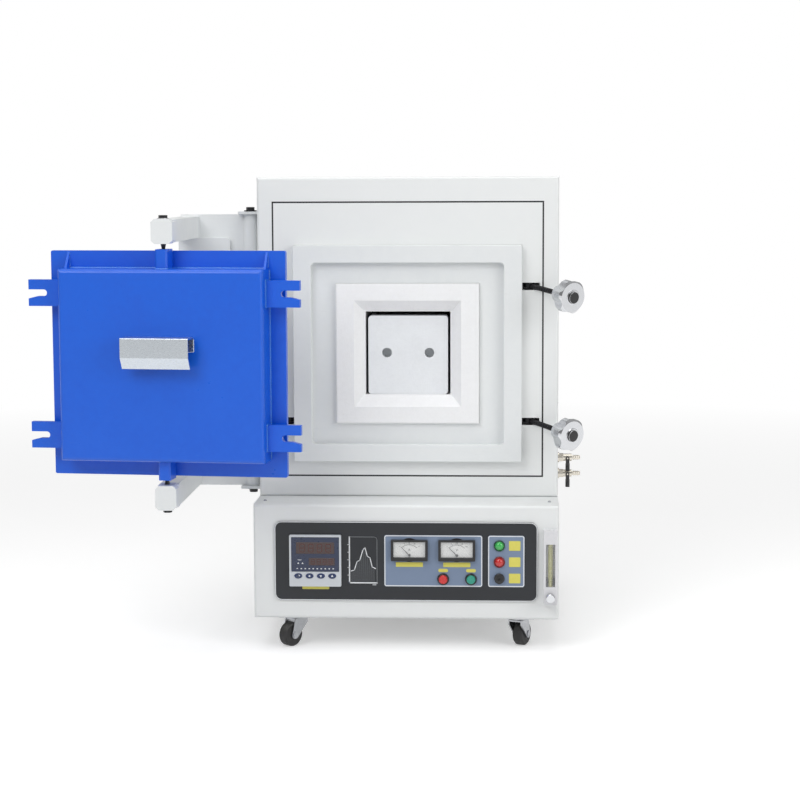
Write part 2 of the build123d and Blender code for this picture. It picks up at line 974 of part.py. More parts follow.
def arm_pair(level):
    """One of the two arms: a leg at the hinge, a hollow bar and a pivot block."""
    edge = arm_top if level > 0 else arm_bottom
    bar_edge = edge - level * bar_drop
    bar_inner = bar_edge - level * bar_height
    leg_inner = edge - level * leg_height
    leg = block(
        leg_end,
        hinge_x,
        leg_front,
        leg_front + leg_thickness,
        min(edge, leg_inner),
        max(edge, leg_inner),
    )
    z0 = min(bar_edge, bar_inner)
    z1 = max(bar_edge, bar_inner)
    bar = block(leg_end, leg_end + bar_width, arm_front, leg_front, z0, z1)
    bar -= block(
        leg_end + bar_wall,
        leg_end + bar_width - bar_wall,
        arm_front + block_end,
        leg_front - bar_wall,
        z0 + bar_wall,
        z1 - bar_wall,
    )
    middle = (z0 + z1) / 2
    end_block = block(
        pivot_x - pivot_block_width / 2,
        pivot_x + pivot_block_width / 2,
        arm_front - block_end,
        arm_front + block_end,
        middle - pivot_block_height / 2,
        middle + pivot_block_height / 2,
    )
    end_block = chamfer(end_block.edges().filter_by(Axis.Y), pivot_block_chamfer)
    stiffener_edge = bar_inner - level * (leg_height - bar_drop - bar_height)
    stiffener = block(
        leg_end - stiffener_outer,
        hinge_x - stiffener_inner,
        leg_front - stiffener_depth,
        leg_front,
        min(bar_inner, stiffener_edge),
        max(bar_inner, stiffener_edge),
    )
    stiffener = fillet(stiffener.edges().filter_by(Axis.Y), stiffener_radius)
    hole = rod_z(
        pivot_x, arm_front, screw_radius + shaft_fit, z0 - pivot_block_height, z1 + pivot_block_height
    )
    return leg + bar + end_block + stiffener - hole


barrel = rod_z(hinge_x, hinge_y, barrel_radius, arm_bottom, arm_top)
swing_arm = barrel + arm_pair(1) + arm_pair(-1)
swing_arm -= rod_z(hinge_x, hinge_y, shaft_radius + shaft_fit, arm_bottom - sheet, arm_top + sheet)
parts["swing_arm"] = swing_arm


def hex_head(x, y, radius, z0, z1):
    """A hexagon bolt head along Z."""
    return extrude(Plane.XY.offset(z0) * Pos(x, y) * RegularPolygon(radius, 6), amount=z1 - z0)


bracket_upper = arm_top + end_play
bracket_lower = arm_bottom - end_play
washer_upper = bracket_upper + bracket_thickness + end_play
washer_lower = bracket_lower - bracket_thickness - end_play
shaft = rod_z(hinge_x, hinge_y, shaft_radius, washer_lower, washer_upper)
shaft += rod_z(hinge_x, hinge_y, washer_radius, washer_upper, washer_upper + washer_thickness)
shaft += rod_z(hinge_x, hinge_y, washer_radius, washer_lower - washer_thickness, washer_lower)
shaft += hex_head(
    hinge_x,
    hinge_y,
    head_radius,
    washer_upper + washer_thickness,
    washer_upper + washer_thickness + head_height,
)
shaft += hex_head(
    hinge_x,
    hinge_y,
    head_radius,
    washer_lower - washer_thickness - head_height,
    washer_lower - washer_thickness,
)


def pivot_screw(level):
    """The pointed screw through a pivot block, with its journal in the door's lug."""
    edge = arm_top if level > 0 else arm_bottom
    block_middle = edge - level * (bar_drop + bar_height / 2)
    block_outer = block_middle + level * pivot_block_height / 2
    block_inner = block_middle - level * pivot_block_height / 2
    lug_edge = mouth_z + level * (door_height / 2 + lug_rise)
    tip = lug_edge - level * screw_tip_depth
    cone_end = lug_edge + level * end_play
    shape = rod_z(
        pivot_x, arm_front, screw_radius, min(block_inner, block_outer), max(block_inner, block_outer)
    )
    shape += hex_head(
        pivot_x,
        arm_front,
        screw_head_radius,
        min(block_outer, block_outer + level * head_height),
        max(block_outer, block_outer + level * head_height),
    )
    shape += loft(
        [
            Plane.XY.offset(block_inner) * Pos(pivot_x, arm_front) * Circle(screw_radius),
            Plane.XY.offset(cone_end) * Pos(pivot_x, arm_front) * Circle(screw_tip_radius),
        ]
    )
    return shape + rod_z(pivot_x, arm_front, screw_tip_radius, min(tip, cone_end), max(tip, cone_end))


parts["arm_pins"] = Compound(children=[shaft, pivot_screw(1), pivot_screw(-1)])


def hinge_bracket(z0, z1, foot_z0, foot_z1):
    """A welded plate on the casing's left side with the hole for the hinge shaft."""
    shape = block(
        hinge_x - bracket_reach, -half_width, hinge_y - bracket_half, hinge_y + bracket_half, z0, z1
    )
    shape = fillet(shape.edges().filter_by(Axis.Z).sort_by(Axis.X)[:2], bend_radius)
    shape += block(
        -half_width - bracket_foot_sheet,
        -half_width,
        hinge_y - bracket_half - bend_radius,
        hinge_y + bracket_half + bend_radius,
        foot_z0,
        foot_z1,
    )
    return shape - rod_z(hinge_x, hinge_y, shaft_radius + running, z0 - sheet, z1 + sheet)


upper_bracket = hinge_bracket(
    bracket_upper, bracket_upper + bracket_thickness, bracket_upper, bracket_upper + bracket_foot
)
lower_bracket = hinge_bracket(
    bracket_lower - bracket_thickness, bracket_lower, bracket_lower - bracket_foot_low, bracket_lower
)
parts["hinge_brackets"] = Compound(children=[upper_bracket, lower_bracket])

# Casters: plate and kingpin on the base, fork that swivels, wheel that rolls
caster_ys = {"front": base_front + caster_inset, "rear": casing_depth - caster_inset}
race_bottom = base_bottom - caster_plate_thickness - race_height
fork_top = race_bottom - fork_play
fork_bottom = fork_top - fork_thickness


def caster_mount(x, y):
    """The top plate with its bearing race and kingpin."""
    half = caster_plate / 2
    shape = block(x - half, x + half, y - half, y + half, base_bottom - caster_plate_thickness, base_bottom)
    shape += rod_z(x, y, race_radius, race_bottom, base_bottom - caster_plate_thickness)
    return shape + rod_z(x, y, kingpin_radius, fork_bottom, race_bottom)


def fork():
    """A pressed fork about its kingpin, trailing towards +Y, with the axle through it."""
    cheek_x = fork_half + fork_cheek
    shape = block(-cheek_x, cheek_x, -fork_heel, fork_toe, fork_bottom, fork_top)
    top_line = Line((-fork_heel, fork_top), (fork_toe, fork_top))
    back_line = Line((-fork_heel, fork_top - fork_lip), (-fork_heel, fork_top))
    axle_round = Pos(caster_trail, wheel_radius) * Circle(axle_boss)
    outline = make_hull([top_line.edge(), back_line.edge(), axle_round.edge()])
    for side in (-1, 1):
        start = fork_half if side > 0 else -cheek_x
        shape += extrude(Plane.YZ.offset(start) * outline, amount=fork_cheek)
        head = side * (cheek_x + axle_head_height)
        shape += rod_x(
            caster_trail, wheel_radius, axle_head, min(side * cheek_x, head), max(side * cheek_x, head)
        )
    shape += rod_x(caster_trail, wheel_radius, axle_radius, -cheek_x, cheek_x)
    return shape - rod_z(0, 0, kingpin_radius + running, fork_bottom - sheet, fork_top + sheet)


def wheel():
    """The wheel in its fork's own place, with its bore."""
    half = wheel_width / 2
    shape = rod_x(caster_trail, wheel_radius, wheel_radius, -half, half)
    shape = chamfer(shape.edges().filter_by(GeomType.CIRCLE), wheel_chamfer)
    return shape - rod_x(caster_trail, wheel_radius, axle_radius + running, -wheel_width, wheel_width)


caster_mounts = []
for place, turn in caster_turns.items():
    caster_side = 1 if place.endswith("right") else -1
    caster_y = caster_ys[place.split("_")[0]]
    caster_mounts.append(caster_mount(caster_side * caster_x, caster_y))
    spot = Pos(caster_side * caster_x, caster_y, 0) * Rot(0, 0, turn)
    parts[f"fork_{place}"] = spot * fork()
    parts[f"wheel_{place}"] = spot * wheel()
parts["caster_plates"] = Compound(children=caster_mounts)

# Fascia with its holes, and the two grey instrument plates on it
lamp_zs = [lamp_top_z - step * lamp_pitch for step in range(3)]
fascia = slab(0, fascia_z, fascia_width, fascia_height, fascia_front, fascia_back, fascia_radius)
fascia -= slab(
    controller_x,
    instrument_z,
    controller_body + 2 * panel_gap,
    controller_body + 2 * panel_gap,
    fascia_front - sheet,
    fascia_back + sheet,
)
meter_overlay = slab(
    meter_plate_x,
    instrument_z,
    meter_plate_width,
    overlay_height,
    overlay_front,
    fascia_front,
    overlay_radius,
)
lamp_overlay = slab(
    lamp_plate_x,
    instrument_z,
    lamp_plate_width,
    overlay_height,
    overlay_front,
    fascia_front,
    overlay_radius,
)
panel_holes = [(x, meter_z, meter_body_radius + panel_gap) for x in meter_xs]
panel_holes += [(x, button_z, button_radius + button_clearance) for x in button_xs.values()]
panel_holes += [(lamp_x, z, lamp_stem + stem_gap) for z in lamp_zs]
for x, z, radius in panel_holes:
    drill = rod_y(x, z, radius, overlay_front - sheet, fascia_back + sheet)
    fascia -= drill
    if x == lamp_x:
        lamp_overlay -= drill
    else:
        meter_overlay -= drill
parts["fascia"] = fascia
parts["instrument_plates"] = Compound(children=[meter_overlay, lamp_overlay])

# Temperature controller: bezel, body, recessed window and four oval keys
controller_front = fascia_front - controller_proud
controller = slab(
    controller_x, instrument_z, controller_size, controller_size, controller_front, fascia_front, 2.0
)
controller += slab(
    controller_x,
    instrument_z,
    controller_body,
    controller_body,
    fascia_front,
    fascia_front + controller_length,
)
window_top = instrument_z + controller_size / 2 - controller_border
window_bottom = instrument_z - controller_size / 2 + controller_border + controller_strip
controller -= slab(
    controller_x,
    (window_top + window_bottom) / 2,
    controller_size - 2 * controller_border,
    window_top - window_bottom,
    controller_front - sheet,
    controller_front + controller_recess,
)
for key in range(4):
    key_x = controller_x + (key - 1.5) * key_pitch
    key_z = instrument_z - controller_size / 2 + key_rise
    oval = front_plane(key_x, controller_front, key_z) * Ellipse(key_width / 2, key_height / 2)
    controller += extrude(oval, amount=key_proud)
parts["controller"] = controller


# Two moving-coil meters, each with a needle on a pin behind its window
def meter_case(x):
    """A black case with a shallow window recess and the needle's pin."""
    front_y = overlay_front - meter_proud
    dial_y = front_y + window_depth
    case = slab(x, meter_z, meter_width, meter_height, front_y, overlay_front, 1.5)
    case += rod_y(x, meter_z, meter_body_radius, overlay_front, overlay_front + meter_length)
    case -= slab(x, meter_z + window_rise, window_width, window_height, front_y - sheet, dial_y)
    pin_z = meter_z + window_rise - window_height / 2 + needle_rise
    pin_end = dial_y - needle_stand - needle_thickness
    return case + rod_y(x, pin_z, needle_pin, pin_end, dial_y)


def needle(x):
    """A tapered pointer that turns on its case's pin, set to zero at the left."""
    back_y = overlay_front - meter_proud + window_depth - needle_stand
    blade = make_face(
        Polyline((-0.8, 0), (-0.25, needle_length), (0.25, needle_length), (0.8, 0), close=True)
    )
    outline = Circle(needle_hub) + blade - Circle(needle_pin + running)
    pin_z = meter_z + window_rise - window_height / 2 + needle_rise
    return extrude(
        front_plane(x, back_y, pin_z) * Rot(0, 0, -needle_zero) * outline, amount=needle_thickness
    )


parts["meter_cases"] = Compound(children=[meter_case(x) for x in meter_xs])
parts["ammeter_needle"] = needle(meter_xs[0])
parts["voltmeter_needle"] = needle(meter_xs[1])

# Push buttons, pilot lamps and buzzer
fittings = []
for name, x in button_xs.items():
    bezel = rod_y(x, button_z, button_bezel, overlay_front - button_bezel_height, overlay_front)
    fittings.append(
        bezel
        - rod_y(
            x,
            button_z,
            button_radius + button_clearance,
            overlay_front - 2 * button_bezel_height,
            overlay_front + sheet,
        )
    )
    button_front = overlay_front - button_proud
    button = rod_y(x, button_z, button_radius, button_front, button_front + button_length)
    front_rim = button.edges().filter_by(GeomType.CIRCLE).sort_by(Axis.Y)[0]
    parts[name] = chamfer(front_rim, button_chamfer)


def pilot_lamp(z):
    """A bevelled lens in a round bezel, with a stem through the panel."""
    bezel_front = overlay_front - lamp_bezel_height
    lamp = rod_y(lamp_x, z, lamp_bezel, bezel_front, overlay_front)
    lens = rod_y(lamp_x, z, lamp_radius, bezel_front - lamp_lens_height, bezel_front)
    rim = lens.edges().filter_by(GeomType.CIRCLE).sort_by(Axis.Y)[0]
    stem = rod_y(lamp_x, z, lamp_stem, overlay_front, overlay_front + lamp_stem_length)
    return lamp + chamfer(rim, lamp_lens_chamfer) + stem


fittings += [pilot_lamp(z) for z in lamp_zs[:2]]
buzzer = rod_y(lamp_x, lamp_zs[2], buzzer_radius, overlay_front - buzzer_height, overlay_front)
buzzer += rod_y(lamp_x, lamp_zs[2], lamp_stem, overlay_front, overlay_front + lamp_stem_length)
buzzer -= rod_y(
    lamp_x,
    lamp_zs[2],
    buzzer_hole,
    overlay_front - 2 * buzzer_height,
    overlay_front - buzzer_height + buzzer_hole_depth,
)
fittings.append(buzzer)
parts["panel_fittings"] = Compound(children=fittings)

# Flowmeter: body with a window, glass tube, float and needle-valve knob
flow_front = base_front - flow_depth
flow_tube_y = base_front - flow_axis
flow_body = slab(
    flow_x, (flow_bottom + flow_top) / 2, flow_width, flow_top - flow_bottom, flow_front, base_front
)
flow_body -= slab(
    flow_x,
    (flow_window_bottom + flow_window_top) / 2,
    flow_window,
    flow_window_top - flow_window_bottom,
    flow_front - sheet,
    flow_front + flow_window_depth,
)
stem_end = flow_front + flow_stem_length
flow_body -= rod_y(flow_x, flow_knob_z, flow_stem_radius + running, flow_front - sheet, stem_end + sheet)
parts["flowmeter_body"] = flow_body
tube = rod_z(flow_x, flow_tube_y, tube_radius, flow_window_bottom, flow_window_top)
parts["flow_tube"] = tube - rod_z(
    flow_x, flow_tube_y, tube_bore, flow_window_bottom - sheet, flow_window_top + sheet
)
float_bottom = flow_window_bottom + float_lift
flow_float = loft(
    [
        Plane.XY.offset(float_bottom) * Pos(flow_x, flow_tube_y) * Circle(float_waist),
        Plane.XY.offset(float_bottom + float_height * 0.7) * Pos(flow_x, flow_tube_y) * Circle(float_radius),
    ]
)
flow_float += rod_z(
    flow_x, flow_tube_y, float_radius, float_bottom + float_height * 0.7, float_bottom + float_height
)
parts["flow_float"] = flow_float
knob_front = flow_front - flow_knob_gap - flow_knob_length
flow_knob = rod_y(flow_x, flow_knob_z, flow_knob_radius, knob_front, flow_front - flow_knob_gap)
flow_knob = chamfer(flow_knob.edges().filter_by(GeomType.CIRCLE).sort_by(Axis.Y)[0], 1.0)
flow_knob += rod_y(flow_x, flow_knob_z, flow_stem_radius, flow_front - flow_knob_gap, stem_end)
parts["flow_knob"] = flow_knob


# Two gas valves on the right side, each with a hose spigot and a lever
def gas_valve(z):
    """Flange, nut, barrel and spigot along X, with a boss and pin for the lever."""
    nut_start = half_width + valve_flange
    barrel_start = nut_start + valve_nut_length
    barrel_end = barrel_start + valve_barrel_length
    spigot_end = barrel_end + spigot_length
    shape = rod_x(valve_y, z, valve_flange_radius, half_width, nut_start)
    nut_plane = Plane(origin=(nut_start, valve_y, z), x_dir=(0, 1, 0), z_dir=(1, 0, 0))
    shape += extrude(nut_plane * RegularPolygon(valve_nut, 6), amount=valve_nut_length)
    shape += rod_x(valve_y, z, valve_barrel, barrel_start, barrel_end)
    shape += rod_x(valve_y, z, spigot_radius, barrel_end, spigot_end)
    stem_x = (barrel_start + barrel_end) / 2
    shape += rod_y(stem_x, z, stem_boss, valve_y - stem_boss_reach, valve_y)
    pin_front = valve_y - stem_boss_reach - stem_pin_length
    shape += rod_y(stem_x, z, stem_pin, pin_front, valve_y - stem_boss_reach)
    return shape - rod_x(valve_y, z, spigot_bore, stem_x, spigot_end + sheet)


def valve_lever(z):
    """A flat lever that hangs from its pin and turns out to open the valve."""
    stem_x = half_width + valve_flange + valve_nut_length + valve_barrel_length / 2
    back_y = valve_y - stem_boss_reach - lever_gap
    outline = Pos(0, -lever_length / 2 + lever_width / 2) * SlotOverall(lever_length, lever_width, 90)
    outline -= Circle(stem_pin + running)
    return extrude(front_plane(stem_x, back_y, z) * outline, amount=lever_thickness)


parts["side_valves"] = Compound(children=[gas_valve(z) for z in valve_zs.values()])
for name, z in valve_zs.items():
    parts[name] = valve_lever(z)

# Transformer on the floor of the base: core with two windows, and its coil
core_z = base_bottom + sheet + core_height / 2
core = Pos(core_x, core_y, core_z) * Box(core_width, core_depth, core_height)
for side in (-1, 1):
    window_x = core_x + side * (core_limb + core_window) / 2 + side * core_limb / 2
    core -= Pos(window_x, core_y, core_z) * Box(core_window, core_depth * 2, core_height - 2 * core_limb)
coil = Pos(core_x, core_y, core_z) * Box(
    core_limb * 2 + core_window, core_depth + 2 * coil_overhang, core_height - 2 * core_limb - sheet
)
parts["transformer"] = core + coil

# Everything is moved so that the origin lies on the floor under the middle at rest
boxes = [shape.bounding_box() for shape in parts.values()]
middle_x = (min(box.min.X for box in boxes) + max(box.max.X for box in boxes)) / 2
middle_y = (min(box.min.Y for box in boxes) + max(box.max.Y for box in boxes)) / 2
print("middle", round(middle_x, 4), round(middle_y, 4), "nodes", len(parts))
os.makedirs("parts", exist_ok=True)
for name, shape in parts.items():
    export_step(Pos(-middle_x, -middle_y, 0) * shape, f"parts/{name}.step")
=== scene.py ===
"""Looks of a box atmosphere furnace: finishes, fine pieces, floor, light and camera.

Sizes are in millimetres about the furnace itself: X from the middle of the casing, Y from
the casing's front, Z from the floor. Datum turns them into metres of the shared frame.
"""

from __future__ import annotations

import json
import logging
import math
from dataclasses import dataclass
from enum import Enum
from typing import Any, Iterable, Optional, Sequence

import bmesh
import bpy
from mathutils import Euler, Matrix, Vector

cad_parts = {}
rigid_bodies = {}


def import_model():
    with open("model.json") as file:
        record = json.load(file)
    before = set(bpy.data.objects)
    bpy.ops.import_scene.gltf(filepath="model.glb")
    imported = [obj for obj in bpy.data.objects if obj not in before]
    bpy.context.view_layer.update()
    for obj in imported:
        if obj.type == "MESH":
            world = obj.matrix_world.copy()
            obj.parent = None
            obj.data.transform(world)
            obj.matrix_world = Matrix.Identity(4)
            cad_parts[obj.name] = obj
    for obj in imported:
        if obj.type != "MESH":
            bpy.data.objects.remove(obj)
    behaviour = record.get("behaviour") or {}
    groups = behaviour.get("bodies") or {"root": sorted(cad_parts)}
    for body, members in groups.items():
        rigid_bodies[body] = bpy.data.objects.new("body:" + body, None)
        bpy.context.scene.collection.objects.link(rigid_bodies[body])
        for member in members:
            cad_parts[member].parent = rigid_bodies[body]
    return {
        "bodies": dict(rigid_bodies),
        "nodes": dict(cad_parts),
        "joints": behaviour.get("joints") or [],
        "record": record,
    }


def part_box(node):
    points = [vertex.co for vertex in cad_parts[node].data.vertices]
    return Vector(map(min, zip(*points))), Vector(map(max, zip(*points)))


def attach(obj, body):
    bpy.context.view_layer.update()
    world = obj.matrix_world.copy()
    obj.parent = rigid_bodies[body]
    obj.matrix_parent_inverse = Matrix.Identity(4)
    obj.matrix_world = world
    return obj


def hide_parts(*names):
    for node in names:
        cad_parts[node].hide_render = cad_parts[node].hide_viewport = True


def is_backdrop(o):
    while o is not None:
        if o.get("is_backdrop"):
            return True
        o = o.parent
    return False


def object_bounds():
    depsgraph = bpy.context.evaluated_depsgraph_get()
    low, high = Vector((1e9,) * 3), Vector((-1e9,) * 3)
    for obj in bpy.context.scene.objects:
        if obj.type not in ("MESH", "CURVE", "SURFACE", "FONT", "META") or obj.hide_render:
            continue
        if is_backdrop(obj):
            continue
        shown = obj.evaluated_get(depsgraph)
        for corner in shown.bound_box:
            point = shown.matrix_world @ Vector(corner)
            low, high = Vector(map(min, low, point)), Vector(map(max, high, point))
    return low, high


LOG = logging.getLogger("furnace")
MM = 0.001

Colour = tuple[float, float, float]
Point = tuple[float, float]
Socket = Any


class Grain(Enum):
    """The kinds of fine relief that a finish can have."""

    PEEL = "peel"
    BRUSHED = "brushed"
    CAST = "cast"
    FIBRE = "fibre"
    SMOOTH = "smooth"


class Run(Enum):
    """The direction that brushed lines run in."""

    ALONG_X = (2.0, 90.0, 90.0)
    ALONG_Y = (90.0, 2.0, 90.0)
    ALONG_Z = (90.0, 90.0, 2.0)


class Body(Enum):
    """The moving bodies that pieces ride on."""

    CABINET = "cabinet"
    ARM = "arm"
    DOOR = "door"
    FLOW_KNOB = "flow_knob"
    RED_BUTTON = "red_button"
    GREEN_BUTTON = "green_button"


class Graph:
    """Adds nodes to one tree and joins them."""

    def __init__(self, tree: bpy.types.NodeTree) -> None:
        """Starts on a tree.

        Args:
            tree: the tree that gets the nodes.
        """
        self.tree = tree

    def add(self, kind: str, inputs: Optional[dict[Any, Any]] = None, **settings: Any) -> Any:
        """Adds a node and fills its inputs.

        Args:
            kind: the node's type name.
            inputs: socket name or number, to a value or another node's output.
            **settings: attributes of the node itself.

        Returns:
            The new node.
        """
        node = self.tree.nodes.new(kind)
        for key, value in settings.items():
            setattr(node, key, value)
        for key, value in (inputs or {}).items():
            if isinstance(value, bpy.types.NodeSocket):
                self.tree.links.new(value, node.inputs[key])
            else:
                node.inputs[key].default_value = value
        return node

    def reckon(self, operation: str, first: Any, second: Any) -> Any:
        """Adds a math node.

        Args:
            operation: what it does, by Blender's name.
            first: its first value or socket.
            second: its second value or socket.

        Returns:
            The node.
        """
        return self.add("ShaderNodeMath", {0: first, 1: second}, operation=operation)

    def spread(self, value: Any, low: float, high: float, bottom: float, top: float) -> Any:
        """Adds a node that maps one range to another.

        Args:
            value: the socket or value to map.
            low: lower end of the range it comes from.
            high: upper end of that range.
            bottom: what low becomes.
            top: what high becomes.

        Returns:
            The node.
        """
        return self.add("ShaderNodeMapRange", {0: value, 1: low, 2: high, 3: bottom, 4: top})

    def link(self, start: Socket, end: Socket) -> None:
        """Joins an output to an input."""
        self.tree.links.new(start, end)


def new_group(name: str, kind: str, ins: Sequence[tuple], outs: Sequence[tuple]) -> Any:
    """Makes an empty node group with its sockets.

    Args:
        name: the group's name.
        kind: ShaderNodeTree or GeometryNodeTree.
        ins: (name, socket type, default or None) of each input.
        outs: (name, socket type) of each output.

    Returns:
        The group, with its Group Input and Group Output nodes added.
    """
    group = bpy.data.node_groups.new(name, kind)
    for label, socket_type, default in ins:
        socket = group.interface.new_socket(label, in_out="INPUT", socket_type=socket_type)
        if default is not None:
            socket.default_value = default
    for label, socket_type in outs:
        group.interface.new_socket(label, in_out="OUTPUT", socket_type=socket_type)
    group.nodes.new("NodeGroupInput")
    group.nodes.new("NodeGroupOutput")
    return group


def ends(group: Any) -> tuple[Any, Any]:
    """Finds a group's Group Input and Group Output nodes.

    Args:
        group: the node group.

    Returns:
        The input node and the output node.
    """
    by_type = {node.bl_idname: node for node in group.nodes}
    return by_type["NodeGroupInput"], by_type["NodeGroupOutput"]


class Effects:
    """Shader groups shared by the finishes, each built once."""

    FLOAT = "NodeSocketFloat"
    COLOUR = "NodeSocketColor"
    VECTOR = "NodeSocketVector"

    def __init__(self) -> None:
        """Builds every group."""
        self.mottle = self._mottle()
        self.grain = self._grain()
        self.fibre = self._fibre()
        self.dust = self._dust()
        self.scuff = self._scuff()

    def _mottle(self) -> Any:
        """Slow change of colour over a surface, of two sizes.

        Returns:
            The group, which gives a colour and a mask.
        """
        group = new_group(
            "Slow mottle", "ShaderNodeTree",
            [
                ("Colour", self.COLOUR, (0.8, 0.8, 0.8, 1)),
                ("Shade", self.COLOUR, (0.7, 0.7, 0.7, 1)), ("Scale", self.FLOAT, 6.0),
                ("Amount", self.FLOAT, 0.3),
            ], [("Colour", self.COLOUR), ("Mask", self.FLOAT)],
        )
        graph = Graph(group)
        start, end = ends(group)
        where = graph.add("ShaderNodeTexCoord").outputs["Object"]
        broad = graph.add(
            "ShaderNodeTexNoise",
            {"Vector": where, "Scale": start.outputs["Scale"], "Detail": 5.0, "Roughness": 0.6},
        )
        finer = graph.reckon("MULTIPLY", start.outputs["Scale"], 9.0)
        spots = graph.add(
            "ShaderNodeTexNoise",
            {"Vector": where, "Scale": finer.outputs[0], "Detail": 4.0, "Roughness": 0.7},
        )
        both = graph.reckon("MULTIPLY", broad.outputs[0], spots.outputs[0])
        spread = graph.spread(both.outputs[0], 0.12, 0.38, 0.0, 1.0)
        part = graph.reckon("MULTIPLY", spread.outputs[0], start.outputs["Amount"])
        mix = graph.add(
            "ShaderNodeMix",
            {0: part.outputs[0], 6: start.outputs["Colour"], 7: start.outputs["Shade"]},
            data_type="RGBA",
        )
        graph.link(mix.outputs[2], end.inputs["Colour"])
        graph.link(spread.outputs[0], end.inputs["Mask"])
        return group

    def _grain(self) -> Any:
        """Fine relief from noise, stretched where lines run one way.

        Returns:
            The group, which gives a height and a mask.
        """
        group = new_group(
            "Fine grain", "ShaderNodeTree",
            [
                ("Scale", self.FLOAT, 400.0), ("Stretch", self.VECTOR, (1.0, 1.0, 1.0)),
                ("Detail", self.FLOAT, 3.0),
            ], [("Height", self.FLOAT), ("Mask", self.FLOAT)],
        )
        graph = Graph(group)
        start, end = ends(group)
        where = graph.add("ShaderNodeTexCoord").outputs["Object"]
        drawn = graph.add(
            "ShaderNodeVectorMath", {0: where, 1: start.outputs["Stretch"]}, operation="MULTIPLY",
        )
        noise = graph.add(
            "ShaderNodeTexNoise",
            {
                "Vector": drawn.outputs[0], "Scale": start.outputs["Scale"],
                "Detail": start.outputs["Detail"], "Roughness": 0.55,
            },
        )
        mask = graph.spread(noise.outputs[0], 0.35, 0.65, 0.0, 1.0)
        graph.link(noise.outputs[0], end.inputs["Height"])
        graph.link(mask.outputs[0], end.inputs["Mask"])
        return group

    def _fibre(self) -> Any:
        """Matted ceramic fibre: crossed strands, clots and small pits.

        Returns:
            The group, which gives a height and a mask of the pits that is used to paint shade into
            them.
        """
        group = new_group(
            "Matted fibre", "ShaderNodeTree", [("Scale", self.FLOAT, 200.0)],
            [("Height", self.FLOAT), ("Pit shade", self.FLOAT)],
        )
        graph = Graph(group)
        start, end = ends(group)
        where = graph.add("ShaderNodeTexCoord").outputs["Object"]
        layers = []
        for stretch in ((1.0, 0.12, 1.0), (0.12, 1.0, 1.0), (1.0, 1.0, 0.12)):
            drawn = graph.add("ShaderNodeVectorMath", {0: where, 1: stretch}, operation="MULTIPLY")
            strand = graph.add(
                "ShaderNodeTexNoise",
                {
                    "Vector": drawn.outputs[0], "Scale": start.outputs["Scale"], "Detail": 5.0,
                    "Distortion": 0.8,
                },
            )
            layers.append(strand.outputs[0])
        two = graph.reckon("MAXIMUM", layers[0], layers[1])
        three = graph.reckon("ADD", two.outputs[0], layers[2])
        cell = graph.add(
            "ShaderNodeTexVoronoi", {"Vector": where, "Scale": start.outputs["Scale"]}
        )
        pits = graph.spread(cell.outputs[0], 0.0, 0.22, 1.0, 0.0)
        height = graph.reckon("SUBTRACT", three.outputs[0], pits.outputs[0])
        graph.link(height.outputs[0], end.inputs["Height"])
        graph.link(pits.outputs[0], end.inputs["Pit shade"])
        return group

    def _dust(self) -> Any:
        """Thin dust that settles on faces that look up.

        Returns:
            The group, which gives a colour and a mask.
        """
        group = new_group(
            "Settled dust", "ShaderNodeTree",
            [
                ("Colour", self.COLOUR, (0.8, 0.8, 0.8, 1)),
                ("Dust", self.COLOUR, (0.55, 0.54, 0.5, 1)), ("Amount", self.FLOAT, 0.2),
            ], [("Colour", self.COLOUR), ("Mask", self.FLOAT)],
        )
        graph = Graph(group)
        start, end = ends(group)
        where = graph.add("ShaderNodeTexCoord")
        split = graph.add("ShaderNodeSeparateXYZ", {0: where.outputs["Normal"]})
        faces_up = graph.spread(split.outputs[2], 0.3, 1.0, 0.0, 1.0)
        cloud = graph.add(
            "ShaderNodeTexNoise",
            {"Vector": where.outputs["Object"], "Scale": 38.0, "Detail": 8.0, "Roughness": 0.7},
        )
        patch = graph.spread(cloud.outputs[0], 0.42, 0.68, 0.0, 1.0)
        settled = graph.reckon("MULTIPLY", faces_up.outputs[0], patch.outputs[0])
        part = graph.reckon("MULTIPLY", settled.outputs[0], start.outputs["Amount"])
        mix = graph.add(
            "ShaderNodeMix",
            {0: part.outputs[0], 6: start.outputs["Colour"], 7: start.outputs["Dust"]},
            data_type="RGBA",
        )
        graph.link(mix.outputs[2], end.inputs["Colour"])
        graph.link(part.outputs[0], end.inputs["Mask"])
        return group

    def _scuff(self) -> Any:
        """Sparse fine scratches and rubbed spots.

        Returns:
            The group, which gives a mask.
        """
        group = new_group(
            "Rubbed marks", "ShaderNodeTree",
            [("Scale", self.FLOAT, 30.0), ("Amount", self.FLOAT, 0.3)], [("Mask", self.FLOAT)],
        )
        graph = Graph(group)
        start, end = ends(group)
        where = graph.add("ShaderNodeTexCoord").outputs["Object"]
        slanted = graph.add(
            "ShaderNodeMapping", {0: where, 2: (0.4, 0.9, 0.5), 3: (1.0, 14.0, 14.0)}
        )
        line = graph.add(
            "ShaderNodeTexNoise",
            {
                "Vector": slanted.outputs[0], "Scale": start.outputs["Scale"], "Detail": 2.0,
                "Distortion": 0.3,
            },
        )
        thin = graph.spread(line.outputs[0], 0.66, 0.72, 0.0, 1.0)
        patch = graph.add("ShaderNodeTexNoise", {"Vector": where, "Scale": 11.0, "Detail": 3.0})
        near = graph.spread(patch.outputs[0], 0.5, 0.62, 0.0, 1.0)
        both = graph.reckon("MULTIPLY", thin.outputs[0], near.outputs[0])
        part = graph.reckon("MULTIPLY", both.outputs[0], start.outputs["Amount"])
        graph.link(part.outputs[0], end.inputs["Mask"])
        return group


